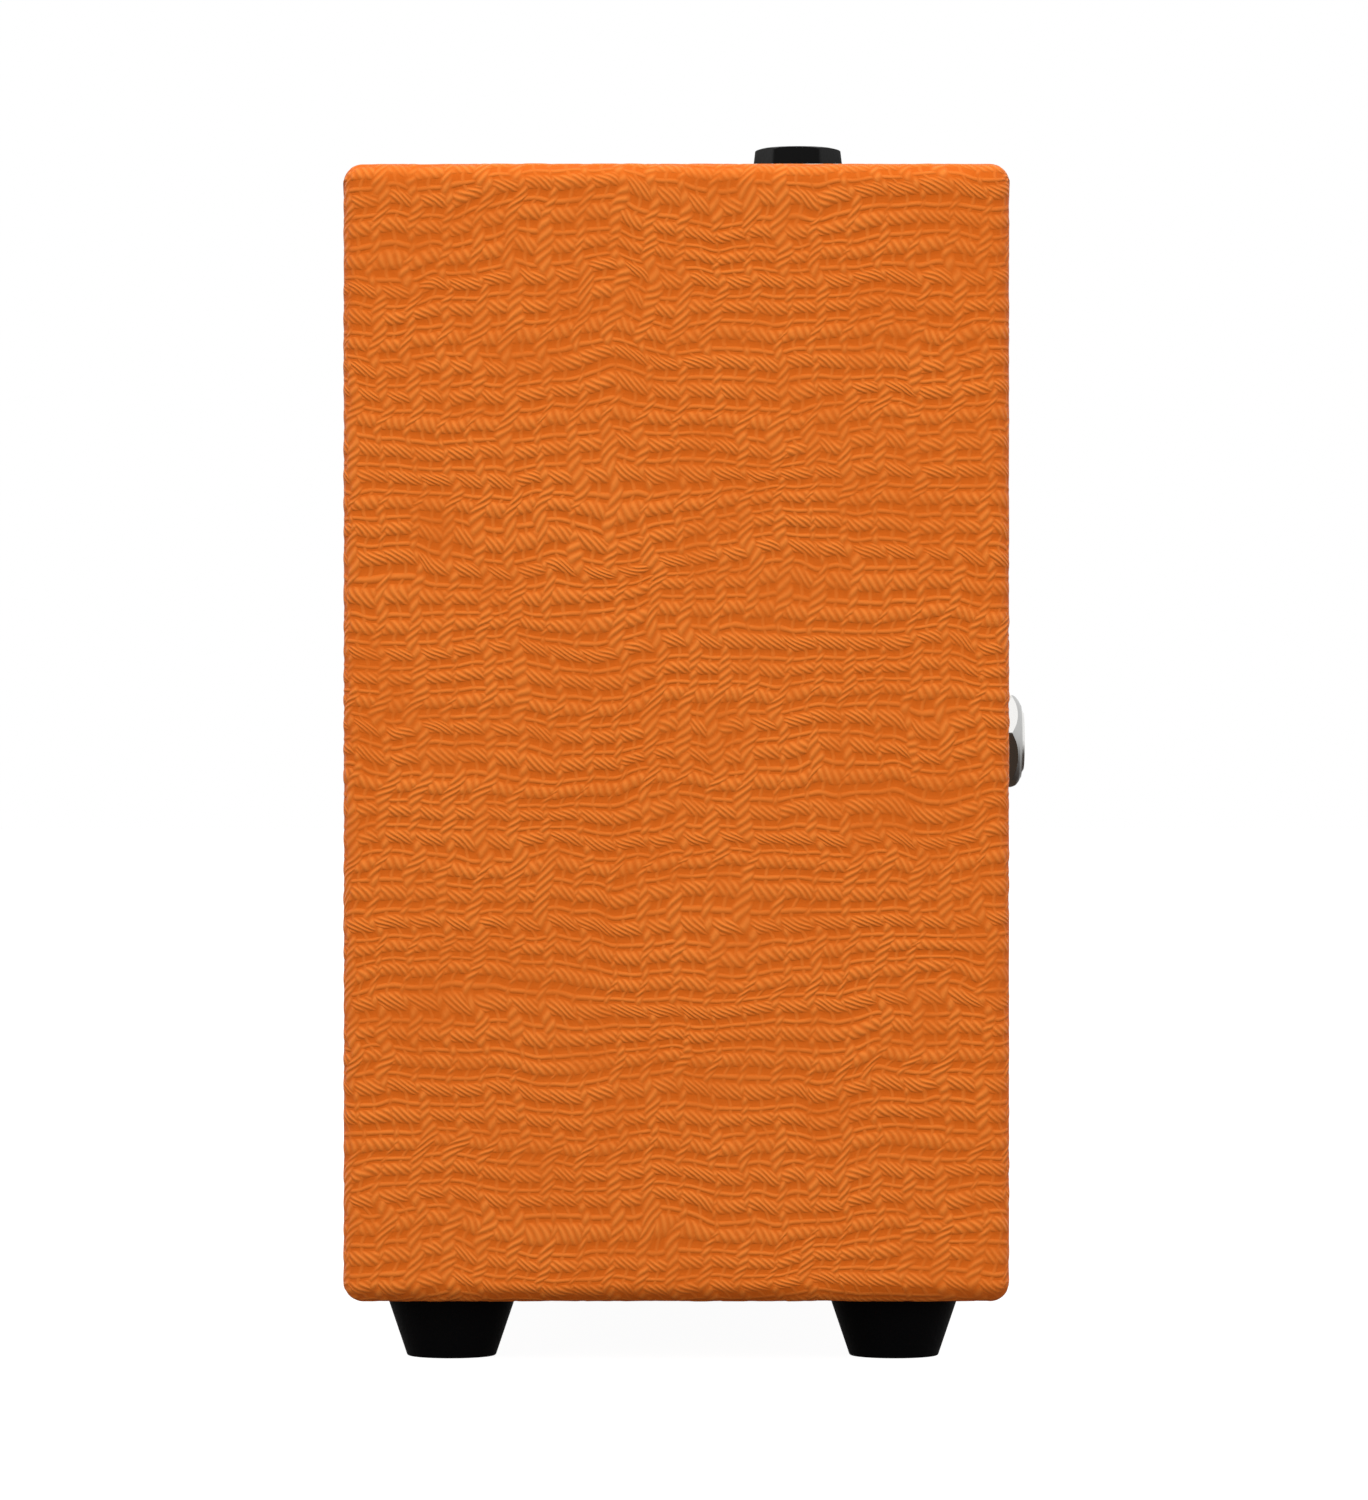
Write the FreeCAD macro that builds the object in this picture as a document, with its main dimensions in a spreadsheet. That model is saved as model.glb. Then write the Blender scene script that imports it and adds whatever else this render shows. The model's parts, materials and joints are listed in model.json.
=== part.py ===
"""A battery-powered mini guitar amplifier: a vinyl-covered wooden box with one 4 inch speaker.

Frame: millimetres, +Z up, +X to the right seen from the front, -Y the front (grille), +Y the back.
The origin is the middle of the object's footprint, on the surface that the feet stand on.
"""

import FreeCAD, Part
import Sketcher

import math
import os

V = FreeCAD.Vector
X, Y, Z = V(1, 0, 0), V(0, 1, 0), V(0, 0, 1)

# The driving dimensions, in millimetres and degrees: spreadsheet alias and value.
DIMENSIONS = {
    # cabinet
    "cab_wide": 149.0, "cab_deep": 86.0, "cab_high": 147.0,
    "foot_high": 8.1, "rear_proud": 2.95,
    "skin": 0.8, "board": 6.2, "edge_round": 2.5, "front_wrap": 7.2, "rear_wrap": 4.4,
    "cleat": 8.0, "cleat_deep": 6.0,
    "fit_gap": 0.3,
    # front: recess of the grille, cloth, baffle and piping
    "grille_recess": 7.4, "cloth": 0.5, "baffle": 5.0, "piping_wide": 3.0, "piping_round": 1.4,
    # back
    "back_recess": 0.6, "back_thick": 4.0,
    # feet: radii at the cabinet and at the floor, and where they stand
    "foot_top_rad": 8.55, "foot_low_rad": 5.8, "foot_inset": 16.0,
    "foot_front": 29.5, "foot_rear": 28.5,
    "foot_well_rad": 4.0, "foot_well_deep": 5.0, "foot_round": 0.3,
    # screws: shank radius, depth of a countersunk head, slot, and head radius and length by place
    "screw_rad": 1.4, "screw_sink": 1.6, "slot_wide": 0.6, "slot_deep": 0.6,
    "pilot_long": 14.0, "panel_screw_head": 2.4, "panel_screw_long": 6.0,
    "back_screw_head": 2.9, "back_screw_long": 9.0,
    "foot_screw_rad": 1.7, "foot_screw_head": 3.4, "foot_screw_long": 13.5,
    "speaker_screw_head": 2.6, "speaker_screw_high": 1.4,
    # speaker, measured back from the baffle's rear face
    "spk_high": 78.0, "spk_rad": 51.0, "spk_bolt_rad": 48.6, "baffle_hole_rad": 46.0,
    "gasket": 1.2, "sheet_metal": 1.0, "basket_mouth": 45.0, "basket_cup_rad": 25.0,
    "spider_rad": 29.6, "spider_deep": 17.4, "basket_deep": 22.0, "plate": 4.0, "plate_rad": 27.0,
    "magnet_rad": 30.0, "magnet_thick": 10.0, "tag_x": 5.0, "tag_long": 9.0,
    "cone_rad": 38.0, "paper": 0.5, "roll_rise": 3.0, "cap_rad": 11.2, "cap_rise": 3.6, "cap_deep": 11.8,
    "coil_rad": 12.5, "coil_deep": 27.5, "coil_long": 7.0, "former": 0.25, "winding": 0.5,
    # control panel on top: a flange with a sunk tray for the knobs
    "row_back": 16.1, "panel_half_x": 60.5, "panel_half_y": 19.5, "panel_thick": 1.0,
    "tray_left": 52.5, "tray_right": 33.5, "tray_half_y": 15.0, "tray_deep": 9.0,
    "panel_round": 4.0,
    # controls
    "gain_x": 22.0, "knob_pitch": 19.0, "knob_rad": 6.2, "knob_top_rad": 5.3,
    "knob_high": 9.5, "knob_gap": 0.6, "shaft_rad": 3.0, "shaft_in": 7.0, "run_gap": 0.05,
    "pot_wide": 9.6, "pot_deep": 11.0, "pot_high": 6.8,
    "jack_x": 46.5, "jack_body": 15.6, "jack_deep": 29.0, "plug_rad": 3.3,
    "bush_rad": 4.0, "nut_flat": 10.6, "nut_top_flat": 9.9, "nut_high": 3.1, "nut_turn": 27.0,
    "mini_rad": 1.8, "mini_body": 8.0, "mini_deep": 15.0, "mini_collar": 3.4,
    "mini_x": 47.0, "mini_pitch": 12.0, "mini_back": 7.0,
    "switch_x": 32.0, "switch_travel": 3.0, "slider_slot": 4.2, "slider_half": 2.0,
    "button_x": 46.0, "button_rad": 3.0, "button_travel": 1.0, "cap_proud": 2.2,
    "low_row": 7.5, "light_rad": 1.4, "light_pitch": 5.6,
    "pcb": 1.6, "pcb_half_y": 13.5, "pcb_left": 56.0, "pcb_right": 57.0, "tact_high": 3.6,
    # back panel fittings
    "out_x": 49.5, "out_z": 80.5, "out_bush_rad": 4.45, "out_nut_flat": 11.4,
    "out_nut_turn": 9.6, "out_nut_thick": 2.6, "out_washer": 0.6, "out_deep": 26.0,
    "supply_z": 52.0, "supply_rad": 2.8, "supply_flange": 6.0, "supply_deep": 12.0,
    # battery bay
    "cell_long": 48.5, "cell_high": 26.5, "cell_thick": 17.5, "bay_wall": 1.5,
    "bay_right": 0.5, "bay_low": 29.0, "bay_room": 6.5, "door_thick": 1.6,
    "hinge_rad": 0.8, "bezel": 1.0, "bezel_lip": 3.0, "stud_rad": 2.9, "clip_rad": 4.0, "stud_pitch": 12.7,
    "lead_rad": 0.8,
}

doc = FreeCAD.newDocument("mini_amplifier")


class Size:
    """A length that carries its number and the spreadsheet expression that it comes from."""

    def __init__(self, text, value):
        self.text, self.value = text, float(value)

    def __add__(self, other):
        other = size(other)
        return Size(f"({self.text} + {other.text})", self.value + other.value)

    def __sub__(self, other):
        other = size(other)
        return Size(f"({self.text} - {other.text})", self.value - other.value)

    def __mul__(self, other):
        other = size(other)
        return Size(f"{self.text} * {other.text}", self.value * other.value)

    def __truediv__(self, other):
        other = size(other)
        return Size(f"{self.text} / {other.text}", self.value / other.value)

    def __neg__(self):
        return size(0) - self

    def __radd__(self, other):
        return size(other) + self

    def __rsub__(self, other):
        return size(other) - self

    def __rmul__(self, other):
        return size(other) * self


def size(value):
    """A plain number as a Size, and a Size as it is."""
    if isinstance(value, Size):
        return value
    text = f"{value:g}"
    return Size(f"({text})" if value < 0 else text, value)


class Dims:
    """The spreadsheet of driving dimensions. An attribute is the cell with that alias."""

    def __init__(self, values):
        sheet = doc.addObject("Spreadsheet::Sheet", "Dims")
        for row, (alias, value) in enumerate(values.items(), start=1):
            sheet.set(f"A{row}", str(value))
            sheet.setAlias(f"A{row}", alias)
            setattr(self, alias, Size(f"Dims.{alias}", value))
        doc.recompute()


D = Dims(DIMENSIONS)
names = {}  # how many helper objects each stem has, so that every name is its own
parts = []  # the finished sub-parts, in the order they are made


# ---------------------------------------------------------------- building blocks


def bind(obj, **sizes):
    """Ties each property of obj to its spreadsheet expression."""
    for prop, value in sizes.items():
        obj.setExpression(prop, size(value).text)
    return obj


def put(obj, x=0, y=0, z=0, turn=None):
    """Places obj at a point given by sizes. turn is a FreeCAD rotation."""
    if turn is not None:
        obj.Placement = FreeCAD.Placement(V(), turn)
    for axis, value in zip("xyz", (x, y, z)):
        obj.setExpression(f"Placement.Base.{axis}", size(value).text)
    return obj


def fresh(kind, stem):
    """A new object of that kind with a name that nothing else has."""
    names[stem] = names.get(stem, 0) + 1
    return doc.addObject(kind, f"{stem}_{names[stem]}")


def block(x0, x1, y0, y1, z0, z1):
    """A box between two limits on each axis."""
    made = fresh("Part::Box", "block")
    x0, x1, y0, y1, z0, z1 = (size(v) for v in (x0, x1, y0, y1, z0, z1))
    bind(made, Length=x1 - x0, Width=y1 - y0, Height=z1 - z0)
    return put(made, x0, y0, z0)


TURNS = {
    "+Z": FreeCAD.Rotation(),
    "-Z": FreeCAD.Rotation(X, 180),
    "+Y": FreeCAD.Rotation(X, -90),
    "-Y": FreeCAD.Rotation(X, 90),
    "+X": FreeCAD.Rotation(Y, 90),
}


def rod(radius, length, x, y, z, along="+Z"):
    """A cylinder that starts at a point and runs along an axis."""
    made = bind(fresh("Part::Cylinder", "rod"), Radius=radius, Height=length)
    return put(made, x, y, z, TURNS[along])


def taper(radius, end_radius, length, x, y, z, along="+Z"):
    """A cone or its frustum that starts at a point and runs along an axis."""
    made = fresh("Part::Cone", "taper")
    bind(made, Radius1=radius, Radius2=end_radius, Height=length)
    return put(made, x, y, z, TURNS[along])


def ball(radius, x, y, z):
    return put(bind(fresh("Part::Sphere", "ball"), Radius=radius), x, y, z)


def hexagon(across_flats, length, x, y, z, turn):
    """A hexagonal prism. Its first corner lies on its own X axis."""
    made = fresh("Part::Prism", "hexagon")
    made.Polygon = 6
    bind(made, Circumradius=size(across_flats) / math.sqrt(3), Height=length)
    return put(made, x, y, z, turn)


def fuse(*shapes):
    made = fresh("Part::MultiFuse", "fuse")
    made.Shapes = list(shapes)
    return made


def common(*shapes):
    made = fresh("Part::MultiCommon", "common")
    made.Shapes = list(shapes)
    return made


def cut(base, *tools):
    """base without the tools."""
    made = fresh("Part::Cut", "cut")
    made.Base = base
    made.Tool = tools[0] if len(tools) == 1 else fuse(*tools)
    return made


def group(*shapes):
    """Separate solids kept as one sub-part."""
    made = fresh("Part::Compound", "group")
    made.Links = list(shapes)
    return made


def plane_of(body, role):
    return next(f for f in body.Origin.OriginFeatures if f.Role == role)


def outline(body, role, points):
    """A closed sketch of straight lines on one of the body's planes. Every corner is tied to the sheet."""
    sketch = body.newObject("Sketcher::SketchObject", f"{body.Name}_outline")
    sketch.AttachmentSupport = [(plane_of(body, role), "")]
    sketch.MapMode = "FlatFace"
    points = [(size(a), size(b)) for a, b in points]
    count = len(points)
    for i, (a, b) in enumerate(points):
        c, d = points[(i + 1) % count]
        sketch.addGeometry(Part.LineSegment(V(a.value, b.value), V(c.value, d.value)))
    for i in range(count):
        sketch.addConstraint(Sketcher.Constraint("Coincident", i, 2, (i + 1) % count, 1))
    for i, corner in enumerate(points):
        for kind, at in zip(("DistanceX", "DistanceY"), corner):
            k = sketch.addConstraint(Sketcher.Constraint(kind, -1, 1, i, 1, at.value))
            sketch.setExpression(f"Constraints[{k}]", at.text)
    return sketch


def turned(points, x=0, y=0, z=0, along="+Z"):
    """A body turned about an axis. points are (radius, height) corners of its half section."""
    body = fresh("PartDesign::Body", "turned")
    sketch = outline(body, "XZ_Plane", points)
    made = body.newObject("PartDesign::Revolution", f"{body.Name}_revolution")
    made.Profile = sketch
    made.ReferenceAxis = (sketch, ["V_Axis"])
    made.Angle = 360
    return put(body, x, y, z, TURNS[along])


def padded(points, thick, x=0, y=0, z=0):
    """A body padded up from an outline in the XY plane."""
    body = fresh("PartDesign::Body", "padded")
    made = body.newObject("PartDesign::Pad", f"{body.Name}_pad")
    made.Profile = outline(body, "XY_Plane", points)
    bind(made, Length=thick)
    return put(body, x, y, z)


def slab(x0, x1, y0, y1, z0, z1):
    """A box made as a padded sketch, for pieces that get rounded edges."""
    return padded([(x0, y0), (x1, y0), (x1, y1), (x0, y1)], size(z1) - z0, z=z0)


def rounded(body, radius, wanted):
    """Fillets the edges of the body's last feature for which wanted(middle, direction, edge) holds."""
    doc.recompute()
    last = body.Tip
    edges = []
    for i, edge in enumerate(last.Shape.Edges, start=1):
        ends = [v.Point for v in edge.Vertexes]
        middle = edge.CenterOfMass + body.Placement.Base
        direction = (ends[-1] - ends[0]).normalize() if len(ends) > 1 else V()
        if wanted(middle, direction, edge):
            edges.append(f"Edge{i}")
    made = body.newObject("PartDesign::Fillet", f"{body.Name}_fillet")
    made.Base = (last, edges)
    bind(made, Radius=radius)
    body.Tip = made
    doc.recompute()
    return body


def upright(middle, direction, edge):
    return abs(direction.z) > 0.99


def near(a, b):
    return abs(a - b) < 0.01


def finished(label, obj):
    """Marks obj as the finished sub-part of that name."""
    obj.Label = label
    parts.append(obj)
    return obj


def solid_of(label, shape):
    """A sub-part whose shape no standard feature makes."""
    made = doc.addObject("Part::Feature", f"{label}_shape")
    made.Shape = shape
    made.Placement = FreeCAD.Placement()
    return finished(label, made)


# ---------------------------------------------------------------- shared levels

front_y = -(D.cab_deep + D.rear_proud) / 2
rear_y = front_y + D.cab_deep
mid_y = front_y + D.cab_deep / 2
base_z = D.foot_high
top_z = D.foot_high + D.cab_high
outer_x = D.cab_wide / 2
wall = D.skin + D.board
room_x = outer_x - wall
room_low = base_z + wall
room_top = top_z - wall
baffle_front = front_y + D.grille_recess + D.cloth + 0.1
baffle_rear = baffle_front + D.baffle
back_outer = rear_y - D.back_recess
back_inner = back_outer - D.back_thick
row_y = mid_y + D.row_back
panel_top = top_z + D.panel_thick
tray_floor = panel_top - D.tray_deep
tray_under = tray_floor - D.panel_thick
pcb_top = tray_under - D.fit_gap - D.pot_high
knob_xs = {
    "gain": D.gain_x,
    "tone": D.gain_x - D.knob_pitch,
    "volume": D.gain_x - 2 * D.knob_pitch,
}
tag_xs = (-D.tag_x, D.tag_x)


def screw_seat(x, y, z, along, head, length):
    """A countersunk hole that starts at the point."""
    return fuse(
        taper(head, D.screw_rad, D.screw_sink, x, y, z, along),
        rod(D.screw_rad, length, x, y, z, along),
    )


def wood_screw(x, y, z, along, head, length):
    """The screw that fills a screw_seat, with a slot across its flat head."""
    reach, half, deep, clear = head - 0.4, D.slot_wide / 2, D.slot_deep, 1
    slot = {
        "-Y": (x - reach, x + reach, y - deep, y + clear, z - half, z + half),
        "-Z": (x - reach, x + reach, y - half, y + half, z - deep, z + clear),
    }[along]
    return cut(screw_seat(x, y, z, along, head, length), block(*slot))


# ---------------------------------------------------------------- cabinet


def foot_points():
    x = outer_x - D.foot_inset
    front, rear = mid_y - D.foot_front, mid_y + D.foot_rear
    return {
        "foot_front_left": (-x, front),
        "foot_front_right": (x, front),
        "foot_rear_left": (-x, rear),
        "foot_rear_right": (x, rear),
    }


def back_screw_points():
    inset = D.skin + 3.8
    x = room_x - inset
    low, high = room_low + inset, room_top - inset
    middle = (room_low + room_top) / 2
    return [(-x, low), (0, low), (x, low), (-x, middle), (x, middle), (-x, high), (0, high), (x, high)]


def panel_screw_points():
    x = D.panel_half_x - 2.6
    y = D.panel_half_y - 2.6
    return [(sx * x, row_y + sy * y) for sx in (-1, 1) for sy in (-1, 1)]


def panel_opening(z0, z1):
    """The hole in the top that the tray and the input jack pass through."""
    half_y = D.tray_half_y + D.panel_thick + D.fit_gap
    left = -(D.tray_left + D.panel_thick + D.fit_gap)
    right = D.jack_x + D.jack_body / 2 + 1
    return block(left, right, row_y - half_y, row_y + half_y, z0, z1)


def boards():
    """Four boards, butted: the top and bottom run the whole width, the sides stand between them."""
    x, front, rear = outer_x - D.skin, front_y + D.skin, rear_y - D.skin
    bare_round = D.edge_round - D.skin

    def outer(level):
        """Picks the upright edges and the ones at that level."""
        return lambda m, d, e: near(m.z, level.value) or upright(m, d, e)

    top = slab(-x, x, front, rear, room_top, top_z - D.skin)
    top = rounded(top, bare_round, outer(top_z - D.skin))
    pilots = [rod(D.screw_rad, D.panel_screw_long, sx, sy, top_z, "-Z") for sx, sy in panel_screw_points()]
    finished("top_board", cut(top, panel_opening(room_top - 1, top_z), *pilots))

    bottom = slab(-x, x, front, rear, base_z + D.skin, room_low)
    bottom = rounded(bottom, bare_round, outer(base_z + D.skin))
    pilots = [rod(D.foot_screw_rad, D.foot_screw_long, fx, fy, 0) for fx, fy in foot_points().values()]
    finished("bottom_board", cut(bottom, *pilots))

    def at_face(m, d, e):
        return upright(m, d, e) and near(abs(m.x), x.value)

    for label, x0, x1 in (("left_side_board", -x, -room_x), ("right_side_board", room_x, x)):
        side = slab(x0, x1, front, rear, room_low, room_top)
        finished(label, rounded(side, bare_round, at_face))


def covering():
    """The vinyl: glued round all four boards, turned over both rims and a little way inside."""
    outer = slab(-outer_x, outer_x, front_y, rear_y, base_z, top_z)
    outer = rounded(outer, D.edge_round, lambda m, d, e: True)
    s = D.skin
    wood = slab(-outer_x + s, outer_x - s, front_y + s, rear_y - s, base_z + s, top_z - s)
    wood = rounded(wood, D.edge_round - s, lambda m, d, e: True)
    room = block(-room_x, room_x, front_y - 1, rear_y + 1, room_low, room_top)
    mouth = block(-room_x + s, room_x - s, front_y - 1, rear_y + 1, room_low + s, room_top - s)
    inside = block(-room_x, room_x, front_y + D.front_wrap, rear_y - D.rear_wrap, room_low, room_top)
    holes = [rod(D.foot_screw_rad, 4, fx, fy, base_z - 1) for fx, fy in foot_points().values()]
    holes += [rod(D.screw_rad + 0.5, 4, sx, sy, top_z + 1, "-Z") for sx, sy in panel_screw_points()]
    skin = cut(outer, cut(wood, room), mouth, inside, panel_opening(room_top, top_z + 1), *holes)
    finished("vinyl_covering", skin)


def cleats(label, y0, y1, screwed=False):
    """Battens round the inside of the room, which a panel is fixed to."""
    c = D.cleat
    strips = [
        block(-room_x, room_x, y0, y1, room_low, room_low + c),
        block(-room_x, room_x, y0, y1, room_top - c, room_top),
        block(-room_x, -room_x + c, y0, y1, room_low + c, room_top - c),
        block(room_x - c, room_x, y0, y1, room_low + c, room_top - c),
    ]
    if screwed:
        drills = [rod(D.screw_rad, D.pilot_long, x, back_outer, z, "-Y") for x, z in back_screw_points()]
        strips = [cut(strip, *drills) for strip in strips]
    finished(label, group(*strips))


def front():
    g = D.fit_gap
    cloth_y = front_y + D.grille_recess
    baffle = block(-room_x + g, room_x - g, baffle_front, baffle_rear, room_low + g, room_top - g)
    hole = rod(D.baffle_hole_rad, D.baffle + 2, 0, baffle_front - 1, D.spk_high, "+Y")
    pilots = [rod(D.screw_rad, 4, x, baffle_rear, z, "-Y") for x, z in speaker_screw_points()]
    finished("front_baffle", cut(baffle, hole, *pilots))
    cloth = block(-room_x + g, room_x - g, cloth_y, cloth_y + D.cloth, room_low + g, room_top - g)
    finished("grille_cloth", cloth)

    out_x = room_x - D.skin - g
    low, high = room_low + D.skin + g, room_top - D.skin - g
    w = D.piping_wide
    y0, y1 = front_y + D.grille_recess - 3, front_y + D.grille_recess - 0.1
    ring = slab(-out_x, out_x, y0, y1, low, high)
    ring = rounded(ring, D.panel_round / 2, lambda m, d, e: abs(d.y) > 0.99)
    ring = rounded(ring, D.piping_round, lambda m, d, e: near(m.y, y0.value))
    hollow = slab(-out_x + w, out_x - w, y0 - 1, y1 + 1, low + w, high - w)
    finished("grille_piping", cut(ring, hollow))


def feet():
    """Rubber feet like flower pots, each held by a wide-headed screw up inside it."""
    well, hole = D.foot_well_deep, D.foot_screw_rad
    screws = []
    for label, (x, y) in foot_points().items():
        foot = turned(
            [
                (D.foot_well_rad, 0), (D.foot_low_rad, 0), (D.foot_top_rad, D.foot_high),
                (hole, D.foot_high), (hole, well), (D.foot_well_rad, well),
            ],
            x, y, 0,
        )
        finished(label, rounded(foot, D.foot_round, lambda m, d, e: near(m.z, 0) and e.Length > 30))
        shank = rod(hole, D.foot_screw_long - well, x, y, well)
        thick, reach, half = 1.9, 1.6, D.slot_wide / 2
        dome = ball(D.foot_screw_head + 0.4, x, y, well + 1.3)
        head = common(rod(D.foot_screw_head, thick, x, y, well - thick), dome)
        cross = [
            block(x - reach, x + reach, y - half, y + half, 0, well - 1.3),
            block(x - half, x + half, y - reach, y + reach, 0, well - 1.3),
        ]
        screws.append(cut(fuse(shank, head), *cross))
    finished("foot_screws", group(*screws))


# ---------------------------------------------------------------- speaker


def speaker_screw_points():
    reach = D.spk_bolt_rad * math.sqrt(0.5)
    return [(sx * reach, D.spk_high + sz * reach) for sx in (-1, 1) for sz in (-1, 1)]


def about_speaker(points):
    """A piece turned about the speaker's axis. Heights run back from the baffle's rear face."""
    return turned(points, 0, baffle_rear, D.spk_high, "+Y")


def speaker_frame():
    """The pressed basket on its gasket, the strip of solder tags on its flange, and its four screws."""
    t, g = D.sheet_metal, D.gasket
    rim = g + t
    ring = [(D.spk_rad - 3.8, 0), (D.spk_rad, 0), (D.spk_rad, g), (D.spk_rad - 3.8, g)]
    holes = [rod(D.screw_rad, 9, x, baffle_rear - 1, z, "+Y") for x, z in speaker_screw_points()]
    finished("speaker_gasket", cut(about_speaker(ring), *holes))

    mouth, cup, ledge, deep = D.basket_mouth, D.basket_cup_rad, D.spider_deep, D.basket_deep
    profile = [
        (mouth - t, g), (D.spk_rad, g), (D.spk_rad, rim), (mouth + 0.4, rim),
        (D.spider_rad + t, ledge + t), (cup + t, ledge + t), (cup + t, deep), (14, deep),
        (14, deep - t), (cup, deep - t), (cup, ledge), (D.spider_rad + 0.3, ledge),
    ]
    windows = []
    for angle in (45, 135, 225, 315):
        window = padded([(-9, 26), (9, 26), (13, 52), (-13, 52)], ledge - rim - 4)
        window.Placement = FreeCAD.Placement(V(), FreeCAD.Rotation(Z, angle))
        windows.append(window)
    bay = put(fuse(*windows), 0, baffle_rear + rim + 3, D.spk_high, TURNS["+Y"])
    finished("speaker_basket", cut(about_speaker(profile), bay, *holes))

    screws = []
    for x, z in speaker_screw_points():
        seat, half = baffle_rear + rim, D.slot_wide / 2
        shank = rod(D.screw_rad, rim + 3.5, x, baffle_rear - 3.5, z, "+Y")
        head = rod(D.speaker_screw_head, D.speaker_screw_high, x, seat, z, "+Y")
        top = seat + D.speaker_screw_high
        slot = block(x - 3, x + 3, top - D.slot_deep, top + 1, z - half, z + half)
        screws.append(cut(fuse(shank, head), slot))
    finished("speaker_screws", group(*screws))

    strip_y, strip_z = baffle_rear + rim, D.spk_high + D.spk_rad - 4.8
    strip = block(-8, 8, strip_y, strip_y + 1.2, strip_z, strip_z + 3.8)
    tag_y, tag_z = strip_y + D.tag_long, strip_z + 1.6
    tags = [block(x - 1, x + 1, strip_y, tag_y, tag_z, tag_z + 0.5) for x in tag_xs]
    finished("speaker_terminals", fuse(strip, *tags))


def roll(inner, outer, level, rise, thick, count=10):
    """The corners of a half-round roll between two radii, bulging towards the front by rise."""
    middle, half = (inner + outer) / 2, (outer - inner) / 2
    front_side, back_side = [], []
    for k in range(count + 1):
        c, s = -math.cos(math.pi * k / count), math.sin(math.pi * k / count)
        front_side.append((middle + half * c, level - rise * s))
        back_side.append((middle + (half - thick) * c, level + thick - rise * s))
    return front_side, back_side


def moving_cone():
    """The cone, dust cap and voice coil, and the roll and spider that let them move."""
    p, g = D.paper, D.gasket
    rim = D.cone_rad
    lip = g - p
    thin = p - 0.1
    front_side, back_side = roll(rim, D.basket_mouth - 1, lip, D.roll_rise, thin)
    corners = [(rim - 2, lip)] + front_side + [(D.basket_mouth + 1.8, lip)]
    corners += [(D.basket_mouth + 1.8, g)] + back_side[::-1] + [(rim - 2, lip + thin)]
    finished("speaker_surround", about_speaker(corners))

    r, t = D.coil_rad, D.former
    low = r + t
    throat = D.spider_deep - 3
    cone = [
        (rim - 1, lip + thin), (rim, lip + thin), (rim, lip + thin + 0.3),
        (low + 0.6, throat), (low, throat), (low, throat - thin),
    ]
    finished("speaker_cone", about_speaker(cone))

    def cap(radius, rise):
        return [(radius * math.cos(a), D.cap_deep - rise * math.sin(a)) for a in arc_steps(6)]

    dome, under = cap(D.cap_rad, D.cap_rise), cap(D.cap_rad - thin, D.cap_rise - thin)
    finished("speaker_dust_cap", about_speaker(dome + under[::-1]))

    top, end = D.coil_deep - D.coil_long, D.coil_deep
    coil = [(r, D.cap_deep + 0.6), (low, D.cap_deep + 0.6), (low, top)]
    coil += [(low + D.winding, top), (low + D.winding, end), (r, end)]
    finished("voice_coil", about_speaker(coil))

    waves, steps, thick = 3, 12, thin
    start, end, level = low, D.basket_cup_rad - thin, D.spider_deep - thick
    upper, lower = [], []
    for k in range(steps + 1):
        along = start + (end - start) * (k / steps)
        wave = 0.9 * math.sin(2 * math.pi * waves * k / steps)
        upper.append((along, level + wave))
        lower.append((along, level + thick + wave))
    edge = [(D.spider_rad, level), (D.spider_rad, level + thick)]
    finished("speaker_spider", about_speaker(upper + edge + lower[::-1]))


def arc_steps(count):
    return [math.pi / 2 * k / count for k in range(count + 1)]


def motor():
    """The magnet between its steel plates. The pole stands in the coil's gap."""
    deep, plate = D.basket_deep, D.plate
    top = deep + plate
    back = top + D.magnet_thick
    seat = D.plate_rad
    finished("speaker_top_plate", about_speaker([(13.7, deep), (seat, deep), (seat, top), (13.7, top)]))
    r = D.magnet_rad
    finished("speaker_magnet", about_speaker([(15, top), (r, top), (r, back), (15, back)]))
    pole = D.coil_rad - 0.4
    yoke = [
        (0, deep), (pole, deep), (pole, back), (seat, back),
        (seat, back + plate - 1), (seat - 1, back + plate), (0, back + plate),
    ]
    finished("speaker_back_plate", about_speaker(yoke))


# ---------------------------------------------------------------- controls


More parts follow.
